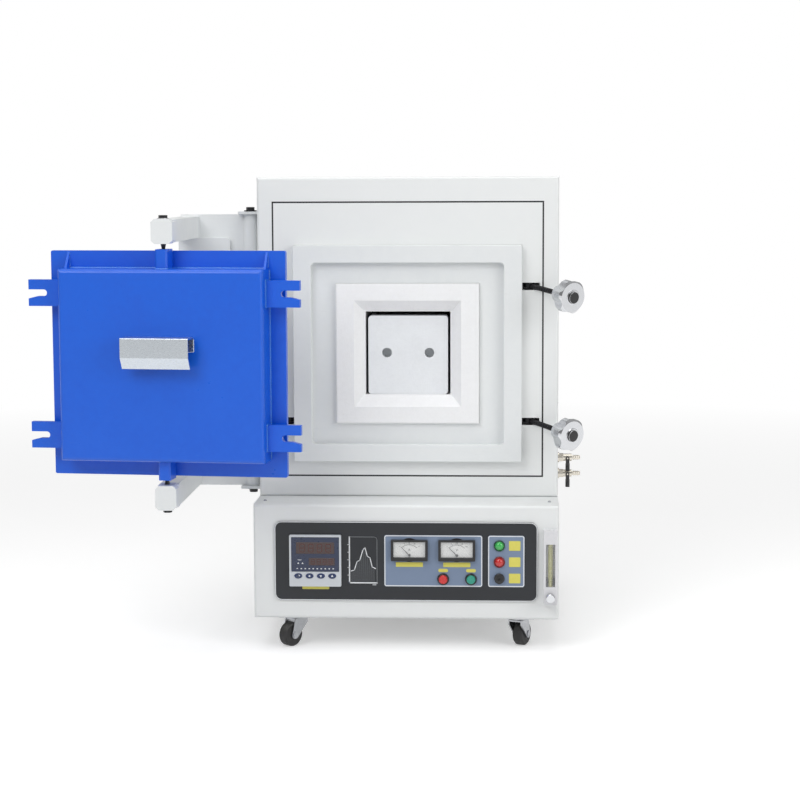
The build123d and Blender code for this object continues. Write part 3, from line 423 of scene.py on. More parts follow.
@dataclass(frozen=True)
class Finish:
    """One surface finish: its colours, its sheen and its relief."""

    name: str
    colour: Colour
    shade: Colour
    slot: str
    rough: float = 0.5
    rough_spread: float = 0.06
    metal: float = 0.0
    coat: float = 0.0
    coat_rough: float = 0.1
    mottle_scale: float = 6.0
    mottle: float = 0.35
    grain: Grain = Grain.PEEL
    run: Run = Run.ALONG_Z
    grain_scale: float = 450.0
    grain_depth: float = 0.00006
    grain_strength: float = 0.25
    dust: float = 0.0
    scuffs: float = 0.0
    scuff_colour: Colour = (0.6, 0.6, 0.6)
    alpha: float = 1.0
    glow: float = 0.0
    specular: float = 0.5

    def build(self, effects: Effects) -> bpy.types.Material:
        """Makes the material's node tree.

        Args:
            effects: the shared shader groups.

        Returns:
            The material.
        """
        material = bpy.data.materials.new(self.name)
        material.use_nodes = True
        graph = Graph(material.node_tree)
        surface = material.node_tree.nodes["Principled BSDF"]
        surface.inputs["Metallic"].default_value = self.metal
        surface.inputs["Coat Weight"].default_value = self.coat
        surface.inputs["Coat Roughness"].default_value = self.coat_rough
        surface.inputs["Specular IOR Level"].default_value = self.specular
        surface.inputs["Alpha"].default_value = self.alpha
        mottle = self._group(
            graph, effects.mottle, Colour=(*self.colour, 1), Shade=(*self.shade, 1),
            Scale=self.mottle_scale, Amount=self.mottle,
        )
        colour = mottle.outputs["Colour"]
        if self.scuffs:
            marks = self._group(graph, effects.scuff, Scale=30.0, Amount=self.scuffs)
            rubbed = graph.add(
                "ShaderNodeMix", {0: marks.outputs["Mask"], 6: colour, 7: (*self.scuff_colour, 1)},
                data_type="RGBA",
            )
            colour = rubbed.outputs[2]
        if self.dust:
            dusty = self._group(graph, effects.dust, Amount=self.dust)
            graph.link(colour, dusty.inputs["Colour"])
            colour = dusty.outputs["Colour"]
        if self.grain is Grain.FIBRE:
            relief = self._group(graph, effects.fibre, Scale=self.grain_scale)
            # Painted shade: the fibre's pits, which the height also sinks, are darkened towards
            # the shade colour.
            shaded = graph.add(
                "ShaderNodeMix", {0: relief.outputs["Pit shade"], 6: colour, 7: (*self.shade, 1)},
                data_type="RGBA",
            )
            colour = shaded.outputs[2]
            change = relief.outputs["Pit shade"]
        else:
            stretch = {
                Grain.BRUSHED: tuple(value / 90.0 for value in self.run.value),
                Grain.CAST: (1.0, 1.0, 1.0),
            }.get(self.grain, (1.0, 1.0, 1.0))
            relief = self._group(
                graph, effects.grain, Scale=self.grain_scale, Stretch=stretch,
                Detail=6.0 if self.grain is Grain.CAST else 2.0,
            )
            change = relief.outputs["Mask"]
        graph.link(colour, surface.inputs["Base Color"])
        spread = graph.add(
            "ShaderNodeMapRange",
            {
                0: change if self.grain is Grain.BRUSHED else mottle.outputs["Mask"], 1: 0.0,
                2: 1.0, 3: max(0.02, self.rough - self.rough_spread),
                4: min(1.0, self.rough + self.rough_spread),
            },
        )
        graph.link(spread.outputs[0], surface.inputs["Roughness"])
        if self.grain is not Grain.SMOOTH:
            bump = graph.add(
                "ShaderNodeBump", {"Strength": self.grain_strength, "Distance": self.grain_depth},
            )
            graph.link(relief.outputs["Height"], bump.inputs["Height"])
            graph.link(bump.outputs[0], surface.inputs["Normal"])
        if self.glow:
            graph.link(colour, surface.inputs["Emission Color"])
            surface.inputs["Emission Strength"].default_value = self.glow
        return material

    @staticmethod
    def _group(graph: Graph, tree: Any, **values: Any) -> Any:
        """Puts a shared group in the tree with its values.

        Args:
            graph: where it goes.
            tree: the shared group.
            **values: values of its named inputs.

        Returns:
            The group node.
        """
        node = graph.add("ShaderNodeGroup", node_tree=tree)
        for key, value in values.items():
            node.inputs[key].default_value = value
        return node


class Paint(Enum):
    """Every finish on the furnace."""

    CASING = Finish(
        "casing_powder_coat", (0.80, 0.815, 0.81), (0.76, 0.78, 0.785), "casing_paint", rough=0.42,
        mottle_scale=3.0, grain_scale=620.0, grain_depth=0.00008, grain_strength=0.22, dust=0.12,
        scuffs=0.1, scuff_colour=(0.68, 0.69, 0.69),
    )
    FRAME = Finish(
        "flange_powder_coat", (0.78, 0.80, 0.80), (0.72, 0.745, 0.755), "casing_paint", rough=0.36,
        mottle_scale=5.0, mottle=0.5, grain_scale=420.0, grain_depth=0.0001, grain_strength=0.3,
        dust=0.1, scuffs=0.18, scuff_colour=(0.62, 0.64, 0.64),
    )
    ARM = Finish(
        "arm_powder_coat", (0.79, 0.81, 0.81), (0.73, 0.755, 0.765), "casing_paint", rough=0.4,
        mottle_scale=7.0, mottle=0.45, grain_scale=520.0, grain_depth=0.00009, grain_strength=0.28,
        dust=0.14, scuffs=0.15, scuff_colour=(0.66, 0.67, 0.67),
    )
    DOOR = Finish(
        "door_blue_enamel", (0.002, 0.115, 0.70), (0.002, 0.09, 0.62), "door_paint", rough=0.34,
        rough_spread=0.07, coat=0.1, coat_rough=0.16, mottle_scale=8.0, mottle=0.45,
        grain_scale=260.0, grain_depth=0.00014, grain_strength=0.22, dust=0.01, scuffs=0.12,
        scuff_colour=(0.08, 0.22, 0.62),
    )
    # Door weld beads: real beads, in a lighter blue than the door enamel as a painted highlight
    # along the corners.
    BEAD = Finish(
        "door_weld_highlight_enamel", (0.03, 0.19, 0.66), (0.015, 0.14, 0.58), "door_paint", rough=0.26,
        coat=0.4, coat_rough=0.12, mottle_scale=60.0, mottle=0.6, grain=Grain.CAST,
        grain_scale=700.0, grain_depth=0.0002, grain_strength=0.4,
    )
    WHITE_BEAD = Finish(
        "weld_powder_coat", (0.77, 0.79, 0.79), (0.69, 0.71, 0.72), "casing_paint", rough=0.36,
        mottle_scale=60.0, mottle=0.6, grain=Grain.CAST, grain_scale=700.0, grain_depth=0.0002,
        grain_strength=0.4,
    )
    BRUSHED = Finish(
        "brushed_stainless", (0.62, 0.66, 0.70), (0.52, 0.56, 0.60), "stainless", rough=0.3,
        rough_spread=0.09, metal=1.0, mottle_scale=12.0, mottle=0.3, grain=Grain.BRUSHED,
        run=Run.ALONG_X, grain_scale=1400.0, grain_depth=0.00005, grain_strength=0.25,
    )
    CHROME = Finish(
        "bright_chrome", (0.66, 0.67, 0.69), (0.58, 0.59, 0.61), "bright_chrome", rough=0.13,
        rough_spread=0.05, metal=1.0, mottle_scale=30.0, mottle=0.4, grain_scale=300.0,
        grain_depth=0.00004, grain_strength=0.12, scuffs=0.3, scuff_colour=(0.8, 0.8, 0.8),
    )
    BLACK_STEEL = Finish(
        "oiled_black_steel", (0.030, 0.030, 0.033), (0.012, 0.012, 0.014), "black_steel",
        rough=0.38, metal=0.55, mottle_scale=60.0, mottle=0.7, grain=Grain.CAST, grain_scale=900.0,
        grain_depth=0.00008, grain_strength=0.25, scuffs=0.35, scuff_colour=(0.25, 0.25, 0.26),
    )
    FIBRE = Finish(
        "ceramic_fibre", (0.89, 0.895, 0.90), (0.80, 0.80, 0.80), "fibre", rough=0.96,
        rough_spread=0.03, mottle_scale=14.0, mottle=0.4, grain=Grain.FIBRE, grain_scale=420.0,
        grain_depth=0.0006, grain_strength=0.5, specular=0.1,
    )
    PLUG = Finish(
        "pressed_fibre_plug", (0.83, 0.85, 0.865), (0.74, 0.755, 0.77), "fibre", rough=0.95,
        rough_spread=0.04, mottle_scale=20.0, mottle=0.5, grain=Grain.FIBRE, grain_scale=520.0,
        grain_depth=0.0005, grain_strength=0.45, specular=0.1,
    )
    ELEMENT = Finish(
        "heating_element", (0.085, 0.083, 0.085), (0.15, 0.14, 0.14), "element", rough=0.45,
        mottle_scale=40.0, mottle=0.8, grain=Grain.CAST, grain_scale=600.0, grain_depth=0.0002,
        grain_strength=0.4,
    )
    HEARTH = Finish(
        "hearth_tile", (0.52, 0.46, 0.39), (0.38, 0.33, 0.28), "hearth", rough=0.85,
        mottle_scale=25.0, mottle=0.7, grain=Grain.CAST, grain_scale=350.0, grain_depth=0.0004,
        grain_strength=0.5,
    )
    RUBBER = Finish(
        "seal_rubber", (0.36, 0.07, 0.045), (0.27, 0.05, 0.035), "seal_rubber", rough=0.6,
        mottle_scale=30.0, grain_scale=800.0, grain_strength=0.3,
    )
    # Painted shade: black for the strip laid in the front panel's seam, in place of the gap's
    # shadow.
    SEAM_SHADE = Finish(
        "seam_painted_shade", (0.012, 0.012, 0.013), (0.02, 0.02, 0.02), "black_plastic", rough=0.65,
        mottle_scale=40.0, grain_scale=900.0, grain_strength=0.3,
    )
    FASCIA = Finish(
        "fascia_film", (0.010, 0.012, 0.016), (0.016, 0.018, 0.022), "panel_black", rough=0.33,
        rough_spread=0.06, mottle_scale=5.0, mottle=0.4, grain_scale=1600.0, grain_depth=0.00004,
        grain_strength=0.3, dust=0.1, scuffs=0.25, scuff_colour=(0.06, 0.065, 0.07),
    )
    PANEL_GREY = Finish(
        "instrument_film", (0.19, 0.25, 0.36), (0.17, 0.225, 0.33), "panel_grey", rough=0.42,
        mottle_scale=8.0, mottle=0.35, grain_scale=1500.0, grain_depth=0.00004, grain_strength=0.3,
        scuffs=0.15, scuff_colour=(0.45, 0.5, 0.56),
    )
    PRINT_WHITE = Finish(
        "white_print", (0.78, 0.80, 0.82), (0.68, 0.70, 0.72), "panel_grey", rough=0.5,
        mottle_scale=50.0, grain_scale=1800.0, grain_strength=0.2,
    )
    PRINT_GREY = Finish(
        "grey_print", (0.16, 0.17, 0.18), (0.12, 0.13, 0.14), "panel_grey", rough=0.5,
        mottle_scale=50.0, grain_scale=1800.0, grain_strength=0.2,
    )
    PRINT_BLACK = Finish(
        "black_print", (0.015, 0.015, 0.016), (0.03, 0.03, 0.03), "needle_black", rough=0.55,
        mottle_scale=50.0, grain_scale=1800.0, grain_strength=0.2,
    )
    TAG = Finish(
        "yellow_tag", (0.72, 0.66, 0.13), (0.64, 0.58, 0.10), "panel_grey", rough=0.45,
        mottle_scale=30.0, mottle=0.5, grain_scale=1500.0, grain_strength=0.25, scuffs=0.2,
        scuff_colour=(0.8, 0.77, 0.4),
    )
    CONTROLLER = Finish(
        "controller_plastic", (0.60, 0.63, 0.66), (0.54, 0.57, 0.60), "controller_grey",
        rough=0.45, mottle_scale=15.0, grain=Grain.CAST, grain_scale=1600.0, grain_depth=0.00006,
        grain_strength=0.3,
    )
    FACE = Finish(
        "controller_face", (0.012, 0.022, 0.060), (0.016, 0.028, 0.075), "controller_grey",
        rough=0.3, coat=0.3, mottle_scale=20.0, grain_scale=1600.0, grain_strength=0.15,
    )
    DISPLAY = Finish(
        "display_window", (0.035, 0.009, 0.008), (0.05, 0.014, 0.012), "controller_grey",
        rough=0.12, rough_spread=0.03, coat=0.5, coat_rough=0.04, mottle_scale=30.0,
        grain_scale=900.0, grain_strength=0.05,
    )
    SEGMENT = Finish(
        "unlit_segment", (0.075, 0.020, 0.017), (0.06, 0.016, 0.014), "controller_grey", rough=0.2,
        mottle_scale=60.0, grain_scale=900.0, grain_strength=0.05,
    )
    KEY = Finish(
        "navy_key", (0.022, 0.040, 0.115), (0.016, 0.030, 0.09), "controller_grey", rough=0.42,
        mottle_scale=60.0, grain_scale=1800.0, grain_strength=0.3,
    )
    BLACK_PLASTIC = Finish(
        "black_plastic", (0.014, 0.014, 0.015), (0.022, 0.022, 0.023), "black_plastic", rough=0.34,
        mottle_scale=30.0, grain=Grain.CAST, grain_scale=1800.0, grain_depth=0.00006,
        grain_strength=0.25, dust=0.1,
    )
    DIAL = Finish(
        "dial_card", (0.80, 0.80, 0.78), (0.74, 0.74, 0.71), "acrylic", rough=0.6,
        mottle_scale=30.0, grain_scale=1500.0, grain_strength=0.15,
    )
    COVER = Finish(
        "clear_cover", (0.9, 0.92, 0.94), (0.85, 0.88, 0.9), "acrylic", rough=0.06,
        rough_spread=0.03, mottle_scale=20.0, grain_scale=300.0, grain_strength=0.03, alpha=0.1,
    )
    NEEDLE = Finish(
        "meter_needle", (0.02, 0.02, 0.02), (0.03, 0.03, 0.03), "needle_black", rough=0.4,
        mottle_scale=60.0, grain_scale=1800.0, grain_strength=0.1,
    )
    RED = Finish(
        "red_button_cap", (0.60, 0.020, 0.018), (0.48, 0.014, 0.013), "red_plastic", rough=0.28,
        coat=0.3, mottle_scale=60.0, grain_scale=1500.0, grain_strength=0.15,
    )
    GREEN = Finish(
        "green_button_cap", (0.015, 0.30, 0.21), (0.010, 0.24, 0.17), "green_plastic", rough=0.28,
        coat=0.3, mottle_scale=60.0, grain_scale=1500.0, grain_strength=0.15,
    )
    GREEN_LENS = Finish(
        "green_lens", (0.05, 0.50, 0.10), (0.02, 0.32, 0.06), "green_plastic", rough=0.12,
        coat=0.6, coat_rough=0.04, mottle_scale=90.0, mottle=0.7, grain_scale=500.0,
        grain_strength=0.1,
    )
    GREEN_BEZEL = Finish(
        "dark_green_bezel", (0.008, 0.075, 0.03), (0.006, 0.055, 0.022), "green_plastic",
        rough=0.3, mottle_scale=60.0, grain_scale=1500.0, grain_strength=0.15,
    )
    RED_LENS = Finish(
        "red_lens", (0.62, 0.022, 0.02), (0.42, 0.012, 0.012), "red_plastic", rough=0.12, coat=0.6,
        coat_rough=0.04, mottle_scale=90.0, mottle=0.7, grain_scale=500.0, grain_strength=0.1,
    )
    RED_BEZEL = Finish(
        "dark_red_bezel", (0.22, 0.012, 0.012), (0.16, 0.010, 0.010), "red_plastic", rough=0.3,
        mottle_scale=60.0, grain_scale=1500.0, grain_strength=0.15,
    )
    FLOW_BLOCK = Finish(
        "flowmeter_block", (0.70, 0.70, 0.72), (0.62, 0.62, 0.645), "fitting", rough=0.3,
        coat=0.25, mottle_scale=20.0, grain_scale=900.0, grain_strength=0.12,
    )
    TUBE = Finish(
        "tapered_tube", (0.62, 0.60, 0.22), (0.50, 0.48, 0.16), "tube_glass", rough=0.07,
        rough_spread=0.03, mottle_scale=30.0, grain_scale=400.0, grain_strength=0.04, alpha=0.5,
    )
    FLOAT = Finish(
        "float_steel", (0.35, 0.35, 0.36), (0.25, 0.25, 0.26), "float_steel", rough=0.2, metal=1.0,
        mottle_scale=60.0, grain_scale=900.0, grain_strength=0.1,
    )
    BRASS = Finish(
        "valve_brass", (0.74, 0.70, 0.62), (0.58, 0.54, 0.47), "valve_brass", rough=0.22,
        metal=1.0, mottle_scale=50.0, mottle=0.6, grain=Grain.BRUSHED, run=Run.ALONG_Y,
        grain_scale=1500.0, grain_strength=0.15,
    )
    LEVER = Finish(
        "lever_steel", (0.018, 0.018, 0.02), (0.035, 0.035, 0.038), "valve_brass", rough=0.38,
        metal=0.0, mottle_scale=50.0, grain=Grain.BRUSHED, run=Run.ALONG_Z, grain_scale=1500.0,
        grain_strength=0.2,
    )
    CORE = Finish(
        "core_laminations", (0.13, 0.13, 0.14), (0.07, 0.07, 0.075), "core_steel", rough=0.5,
        metal=0.7, mottle_scale=20.0, grain=Grain.BRUSHED, run=Run.ALONG_X, grain_scale=1200.0,
        grain_depth=0.0002, grain_strength=0.5,
    )
    ZINC = Finish(
        "zinc_plate", (0.50, 0.51, 0.53), (0.36, 0.37, 0.39), "caster_zinc", rough=0.3, metal=1.0,
        mottle_scale=40.0, mottle=0.7, grain=Grain.CAST, grain_scale=500.0, grain_depth=0.00008,
        grain_strength=0.2, dust=0.25,
    )
    TYRE = Finish(
        "caster_tyre", (0.020, 0.020, 0.021), (0.045, 0.044, 0.042), "wheel_black", rough=0.62,
        mottle_scale=50.0, mottle=0.6, grain=Grain.CAST, grain_scale=900.0, grain_depth=0.0002,
        grain_strength=0.4, dust=0.3,
    )


NODE_PAINT: dict[str, Paint] = {
    "base_cabinet": Paint.CASING, "rear_panels": Paint.CASING, "upper_casing": Paint.CASING,
    "front_panel": Paint.CASING, "vessel": Paint.FRAME, "seal_frame": Paint.FRAME,
    "fibre_mouth": Paint.FIBRE, "chamber_lining": Paint.FIBRE, "heating_elements": Paint.ELEMENT,
    "hearth_plate": Paint.HEARTH, "thermocouple": Paint.BRUSHED, "furnace_plug": Paint.PLUG,
    "bolt_brackets": Paint.BLACK_STEEL, "door_plate": Paint.DOOR, "door_seal": Paint.RUBBER,
    "door_box": Paint.DOOR, "door_lining": Paint.FIBRE, "door_lugs": Paint.DOOR,
    "door_handle": Paint.BRUSHED, "swing_arm": Paint.ARM, "arm_pins": Paint.BLACK_STEEL,
    "hinge_brackets": Paint.FRAME, "caster_plates": Paint.ZINC, "fascia": Paint.FASCIA,
    "instrument_plates": Paint.PANEL_GREY, "controller": Paint.CONTROLLER,
    "meter_cases": Paint.BLACK_PLASTIC, "ammeter_needle": Paint.NEEDLE,
    "voltmeter_needle": Paint.NEEDLE, "red_button": Paint.RED, "green_button": Paint.GREEN,
    "flowmeter_body": Paint.FLOW_BLOCK, "flow_tube": Paint.TUBE, "flow_float": Paint.FLOAT,
    "flow_knob": Paint.CHROME, "side_valves": Paint.BRASS, "upper_lever": Paint.LEVER,
    "lower_lever": Paint.LEVER, "transformer": Paint.CORE,
}
FAMILY_PAINT: dict[str, Paint] = {
    "bolt_": Paint.BLACK_STEEL, "collar_": Paint.CHROME, "knob_": Paint.CHROME,
    "fork_": Paint.ZINC, "wheel_": Paint.TYRE,
}


@dataclass(frozen=True)
class Datum:
    """The furnace's own origin in the shared frame, in metres."""

    x: float
    y: float

    @classmethod
    def from_frame(cls) -> "Datum":
        """Reads the origin off the casing: its middle and its front plane."""
        low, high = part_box("upper_casing")
        return cls((low.x + high.x) / 2, low.y)

    def matrix(self) -> Matrix:
        """The change from the furnace's millimetres to the frame's metres."""
        return Matrix.Translation((self.x, self.y, 0)) @ Matrix.Diagonal((MM, MM, MM, 1))


@dataclass
class Shape:
    """Corner points in millimetres and the faces between them."""

    points: list[Vector]
    faces: list[tuple[int, ...]]

    def moved(self, matrix: Matrix) -> "Shape":
        """Carries the shape by a matrix, in millimetres."""
        return Shape([matrix @ point for point in self.points], list(self.faces))

    def __add__(self, other: "Shape") -> "Shape":
        """Puts two shapes side by side in one."""
        start = len(self.points)
        faces = [tuple(i + start for i in face) for face in other.faces]
        return Shape(self.points + other.points, self.faces + faces)


def together(shapes: Iterable[Shape]) -> Shape:
    """Puts several shapes side by side in one.

    Args:
        shapes: the shapes.

    Returns:
        One shape that holds them all.
    """
    result = Shape([], [])
    for shape in shapes:
        result = result + shape
    return result


def skin(loops: Sequence[Sequence[Vector]], closed_ends: bool = True) -> Shape:
    """Joins loops of equally many points by quads.

    Args:
        loops: closed loops, from one end to the other.
        closed_ends: whether the first and last loops are filled.

    Returns:
        The skinned shape.
    """
    count = len(loops[0])
    points = [point for loop in loops for point in loop]
    faces: list[tuple[int, ...]] = []
    for row in range(len(loops) - 1):
        for i in range(count):
            j = (i + 1) % count
            low, high = row * count, (row + 1) * count
            faces.append((low + i, low + j, high + j, high + i))
    if closed_ends:
        faces.append(tuple(reversed(range(count))))
        faces.append(tuple((len(loops) - 1) * count + i for i in range(count)))
    return Shape(points, faces)


def rounded(x: float, z: float, width: float, height: float, radius: float) -> list[Point]:
    """The outline of a rectangle with round corners, seen from the front.

    Args:
        x: its middle across.
        z: its middle up.
        width: size across.
        height: size up.
        radius: corner radius.

    Returns:
        Points in order, anticlockwise from the right.
    """
    radius = max(0.01, min(radius, width / 2 - 0.001, height / 2 - 0.001))
    steps = 6
    outline = []
    for corner, (sx, sz) in enumerate(((1, 1), (-1, 1), (-1, -1), (1, -1))):
        centre_x = x + sx * (width / 2 - radius)
        centre_z = z + sz * (height / 2 - radius)
        for step in range(steps + 1):
            angle = math.pi / 2 * (corner + step / steps)
            outline.append(
                (centre_x + radius * math.cos(angle), centre_z + radius * math.sin(angle))
            )
    return outline


def plate(
    x: float, z: float, width: float, height: float, front: float, back: float, radius: float,
    bevel: float = 0.15,
) -> Shape:
    """An upright plate that faces the front, with round corners and a bevelled front edge.

    Args:
        x: its middle across.
        z: its middle up.
        width: size across.
        height: size up.
        front: Y of its front.
        back: Y of its back.
        radius: corner radius.
        bevel: width of the front bevel.

    Returns:
        The plate.
    """
    outer = rounded(x, z, width, height, radius)
    inner = rounded(x, z, width - 2 * bevel, height - 2 * bevel, radius - bevel)
    return skin(
        [
            [Vector((px, back, pz)) for px, pz in outer],
            [Vector((px, front + bevel, pz)) for px, pz in outer],
            [Vector((px, front, pz)) for px, pz in inner],
        ]
    )


def band(
    x: float, z: float, width: float, height: float, breadth: float, front: float, back: float,
    radius: float,
) -> Shape:
    """A flat frame that faces the front.

    Args:
        x: its middle across.
        z: its middle up.
        width: outer size across.
        height: outer size up.
        breadth: width of the frame's band.
        front: Y of its front.
        back: Y of its back.
        radius: outer corner radius.

    Returns:
        The closed frame.
    """
    outer = rounded(x, z, width, height, radius)
    inner = rounded(x, z, width - 2 * breadth, height - 2 * breadth, radius - breadth)
    ring = skin(
        [
            [Vector((px, front, pz)) for px, pz in inner],
            [Vector((px, front, pz)) for px, pz in outer],
            [Vector((px, back, pz)) for px, pz in outer],
            [Vector((px, back, pz)) for px, pz in inner],
            [Vector((px, front, pz)) for px, pz in inner],
        ], closed_ends=False,
    )
    return ring


def prism(outline: Sequence[Point], front: float, back: float) -> Shape:
    """An outline in X and Z, drawn out along Y.

    Args:
        outline: its corner points in order.
        front: Y of its front.
        back: Y of its back.

    Returns:
        The prism.
    """
    return skin(
        [
            [Vector((px, back, pz)) for px, pz in outline],
            [Vector((px, front, pz)) for px, pz in outline],
        ]
    )


def stroke(points: Sequence[Point], width: float, front: float, back: float) -> Shape:
    """A printed line of even width along points in X and Z.

    Args:
        points: the line's points.
        width: the line's width.
        front: Y of its front.
        back: Y of its back.

    Returns:
        The line, one bar for each run.
    """
    bars = []
    for (x0, z0), (x1, z1) in zip(points, points[1:]):
        length = math.hypot(x1 - x0, z1 - z0) or 1.0
        ux, uz = (x1 - x0) / length, (z1 - z0) / length
        half = width / 2
        ax, az, bx, bz = x0 - ux * half, z0 - uz * half, x1 + ux * half, z1 + uz * half
        bars.append(
            prism(
                [
                    (ax + uz * half, az - ux * half), (bx + uz * half, bz - ux * half),
                    (bx - uz * half, bz + ux * half), (ax - uz * half, az + ux * half),
                ], front, back,
            )
        )
    return together(bars)


def turned(profile: Sequence[Point], steps: int = 32) -> Shape:
    """A turned piece about the Y axis through the origin.

    Args:
        profile: (radius, Y) from its back to its front; an end radius of 0 closes it.
        steps: how many sides it has round.

    Returns:
        The turned shape.
    """
    points: list[Vector] = []
    faces: list[tuple[int, ...]] = []
    rows: list[list[int]] = []
    for radius, y in profile:
        row = []
        for step in range(1 if radius == 0 else steps):
            angle = 2 * math.pi * step / steps
            row.append(len(points))
            points.append(Vector((radius * math.cos(angle), y, radius * math.sin(angle))))
        rows.append(row)
    for low, high in zip(rows, rows[1:]):
        for i in range(steps):
            j = (i + 1) % steps
            corners = [
                low[i % len(low)], low[j % len(low)], high[j % len(high)], high[i % len(high)],
            ]
            face = tuple(dict.fromkeys(corners))
            if len(face) > 2:
                faces.append(face)
    for row, flip in ((rows[0], True), (rows[-1], False)):
        if len(row) > 1:
            faces.append(tuple(reversed(row)) if flip else tuple(row))
    return Shape(points, faces)


def beam(low: Sequence[float], high: Sequence[float], bevel: float) -> Shape:
    """A bar between two corners, bevelled on all its edges along its longest side.

    Args:
        low: lowest corner.
        high: highest corner.
        bevel: width of the bevel.

    Returns:
        The bar.
    """
    sizes = [high[i] - low[i] for i in range(3)]
    axis = sizes.index(max(sizes))
    u, v = [i for i in range(3) if i != axis]
    loops = []
    for along, inset in (
        (low[axis], bevel), (low[axis] + bevel, 0.0), (high[axis] - bevel, 0.0),
        (high[axis], bevel),
    ):
        loop = []
        cut = bevel
        for a, b in (
            (high[u] - inset, low[v] + cut + inset), (high[u] - inset, high[v] - cut - inset),
            (high[u] - cut - inset, high[v] - inset), (low[u] + cut + inset, high[v] - inset),
            (low[u] + inset, high[v] - cut - inset), (low[u] + inset, low[v] + cut + inset),
            (low[u] + cut + inset, low[v] + inset), (high[u] - cut - inset, low[v] + inset),
        ):
            point = [0.0, 0.0, 0.0]
            point[axis], point[u], point[v] = along, a, b
            loop.append(Vector(point))
        loops.append(loop)
    return skin(loops)


class Trees:
    """Geometry Nodes trees for what repeats or follows a path."""

    GEOMETRY = "NodeSocketGeometry"

    def __init__(self) -> None:
        """Builds the three trees."""
        self.repeat = self._repeat()
        self.bead = self._bead()
        self.thread = self._thread()

    def _end(self, graph: Graph, geometry: Socket, material: Socket, end: Any) -> None:
        """Ends a tree in Realize Instances and Set Material.

        Args:
            graph: the tree's helper.
            geometry: what it has made.
            material: the material input.
            end: the Group Output node.
        """
        real = graph.add("GeometryNodeRealizeInstances", {"Geometry": geometry})
        done = graph.add(
            "GeometryNodeSetMaterial", {"Geometry": real.outputs[0], "Material": material}
        )
        graph.link(done.outputs[0], end.inputs["Geometry"])

    def _repeat(self) -> Any:
        """A template on every vertex, turned as the vertex's own angles say."""
        group = new_group(
            "Repeated piece", "GeometryNodeTree",
            [
                ("Geometry", self.GEOMETRY, None), ("Template", "NodeSocketObject", None),
                ("Size", "NodeSocketFloat", 1.0), ("Material", "NodeSocketMaterial", None),
            ], [("Geometry", self.GEOMETRY)],
        )
        graph = Graph(group)
        start, end = ends(group)
        dots = graph.add("GeometryNodeMeshToPoints", {"Mesh": start.outputs["Geometry"]})
        template = graph.add("GeometryNodeObjectInfo", {"Object": start.outputs["Template"]})
        turn = graph.add(
            "GeometryNodeInputNamedAttribute", {"Name": "turn"}, data_type="FLOAT_VECTOR",
        )
        angles = graph.add("FunctionNodeEulerToRotation", {0: turn.outputs[0]})
        placed = graph.add(
            "GeometryNodeInstanceOnPoints",
            {
                "Points": dots.outputs[0], "Instance": template.outputs["Geometry"],
                "Rotation": angles.outputs[0], "Scale": start.outputs["Size"],
            },
        )
        self._end(graph, placed.outputs[0], start.outputs["Material"], end)
        return group

    def _bead(self) -> Any:
        """A rippled weld bead along a path."""
        group = new_group(
            "Weld bead", "GeometryNodeTree",
            [
                ("Geometry", self.GEOMETRY, None), ("Radius", "NodeSocketFloat", 0.0015),
                ("Pitch", "NodeSocketFloat", 0.003), ("Ripple", "NodeSocketFloat", 0.2),
                ("Material", "NodeSocketMaterial", None),
            ], [("Geometry", self.GEOMETRY)],
        )
        graph = Graph(group)
        start, end = ends(group)
        path = graph.add("GeometryNodeMeshToCurve", {"Mesh": start.outputs["Geometry"]})
        step = graph.reckon("DIVIDE", start.outputs["Pitch"], 3.0)
        even = graph.add(
            "GeometryNodeResampleCurve", {"Curve": path.outputs[0], "Length": step.outputs[0]},
            mode="LENGTH",
        )
        along = graph.add("GeometryNodeSplineParameter")
        turns = graph.reckon("DIVIDE", along.outputs["Length"], start.outputs["Pitch"])
        part = graph.add("ShaderNodeMath", {0: turns.outputs[0]}, operation="FRACT")
        drop = graph.reckon("MULTIPLY", part.outputs[0], start.outputs["Ripple"])
        swell = graph.reckon("SUBTRACT", 1.0, drop.outputs[0])
        ring = graph.add(
            "GeometryNodeCurvePrimitiveCircle",
            {"Resolution": 8, "Radius": start.outputs["Radius"]},
        )
        swept = graph.add(
            "GeometryNodeCurveToMesh",
            {
                "Curve": even.outputs[0], "Profile Curve": ring.outputs[0],
                "Scale": swell.outputs[0], "Fill Caps": True,
            },
        )
        self._end(graph, swept.outputs[0], start.outputs["Material"], end)
        return group

    def _thread(self) -> Any:
        """A screw thread's ridge about the Z axis."""
        group = new_group(
            "Screw thread", "GeometryNodeTree",
            [
                ("Geometry", self.GEOMETRY, None), ("Radius", "NodeSocketFloat", 0.0045),
                ("Ridge", "NodeSocketFloat", 0.0005), ("Turns", "NodeSocketFloat", 20.0),
                ("Length", "NodeSocketFloat", 0.05), ("Material", "NodeSocketMaterial", None),
            ], [("Geometry", self.GEOMETRY)],
        )
        graph = Graph(group)
        start, end = ends(group)
        coil = graph.add(
            "GeometryNodeCurveSpiral",
            {
                "Resolution": 18, "Rotations": start.outputs["Turns"],
                "Start Radius": start.outputs["Radius"], "End Radius": start.outputs["Radius"],
                "Height": start.outputs["Length"],
            },
        )
        ridge = graph.add(
            "GeometryNodeCurvePrimitiveCircle",
            {"Resolution": 4, "Radius": start.outputs["Ridge"]},
        )
        swept = graph.add(
            "GeometryNodeCurveToMesh",
            {"Curve": coil.outputs[0], "Profile Curve": ridge.outputs[0], "Fill Caps": True},
        )
        self._end(graph, swept.outputs[0], start.outputs["Material"], end)
        return group


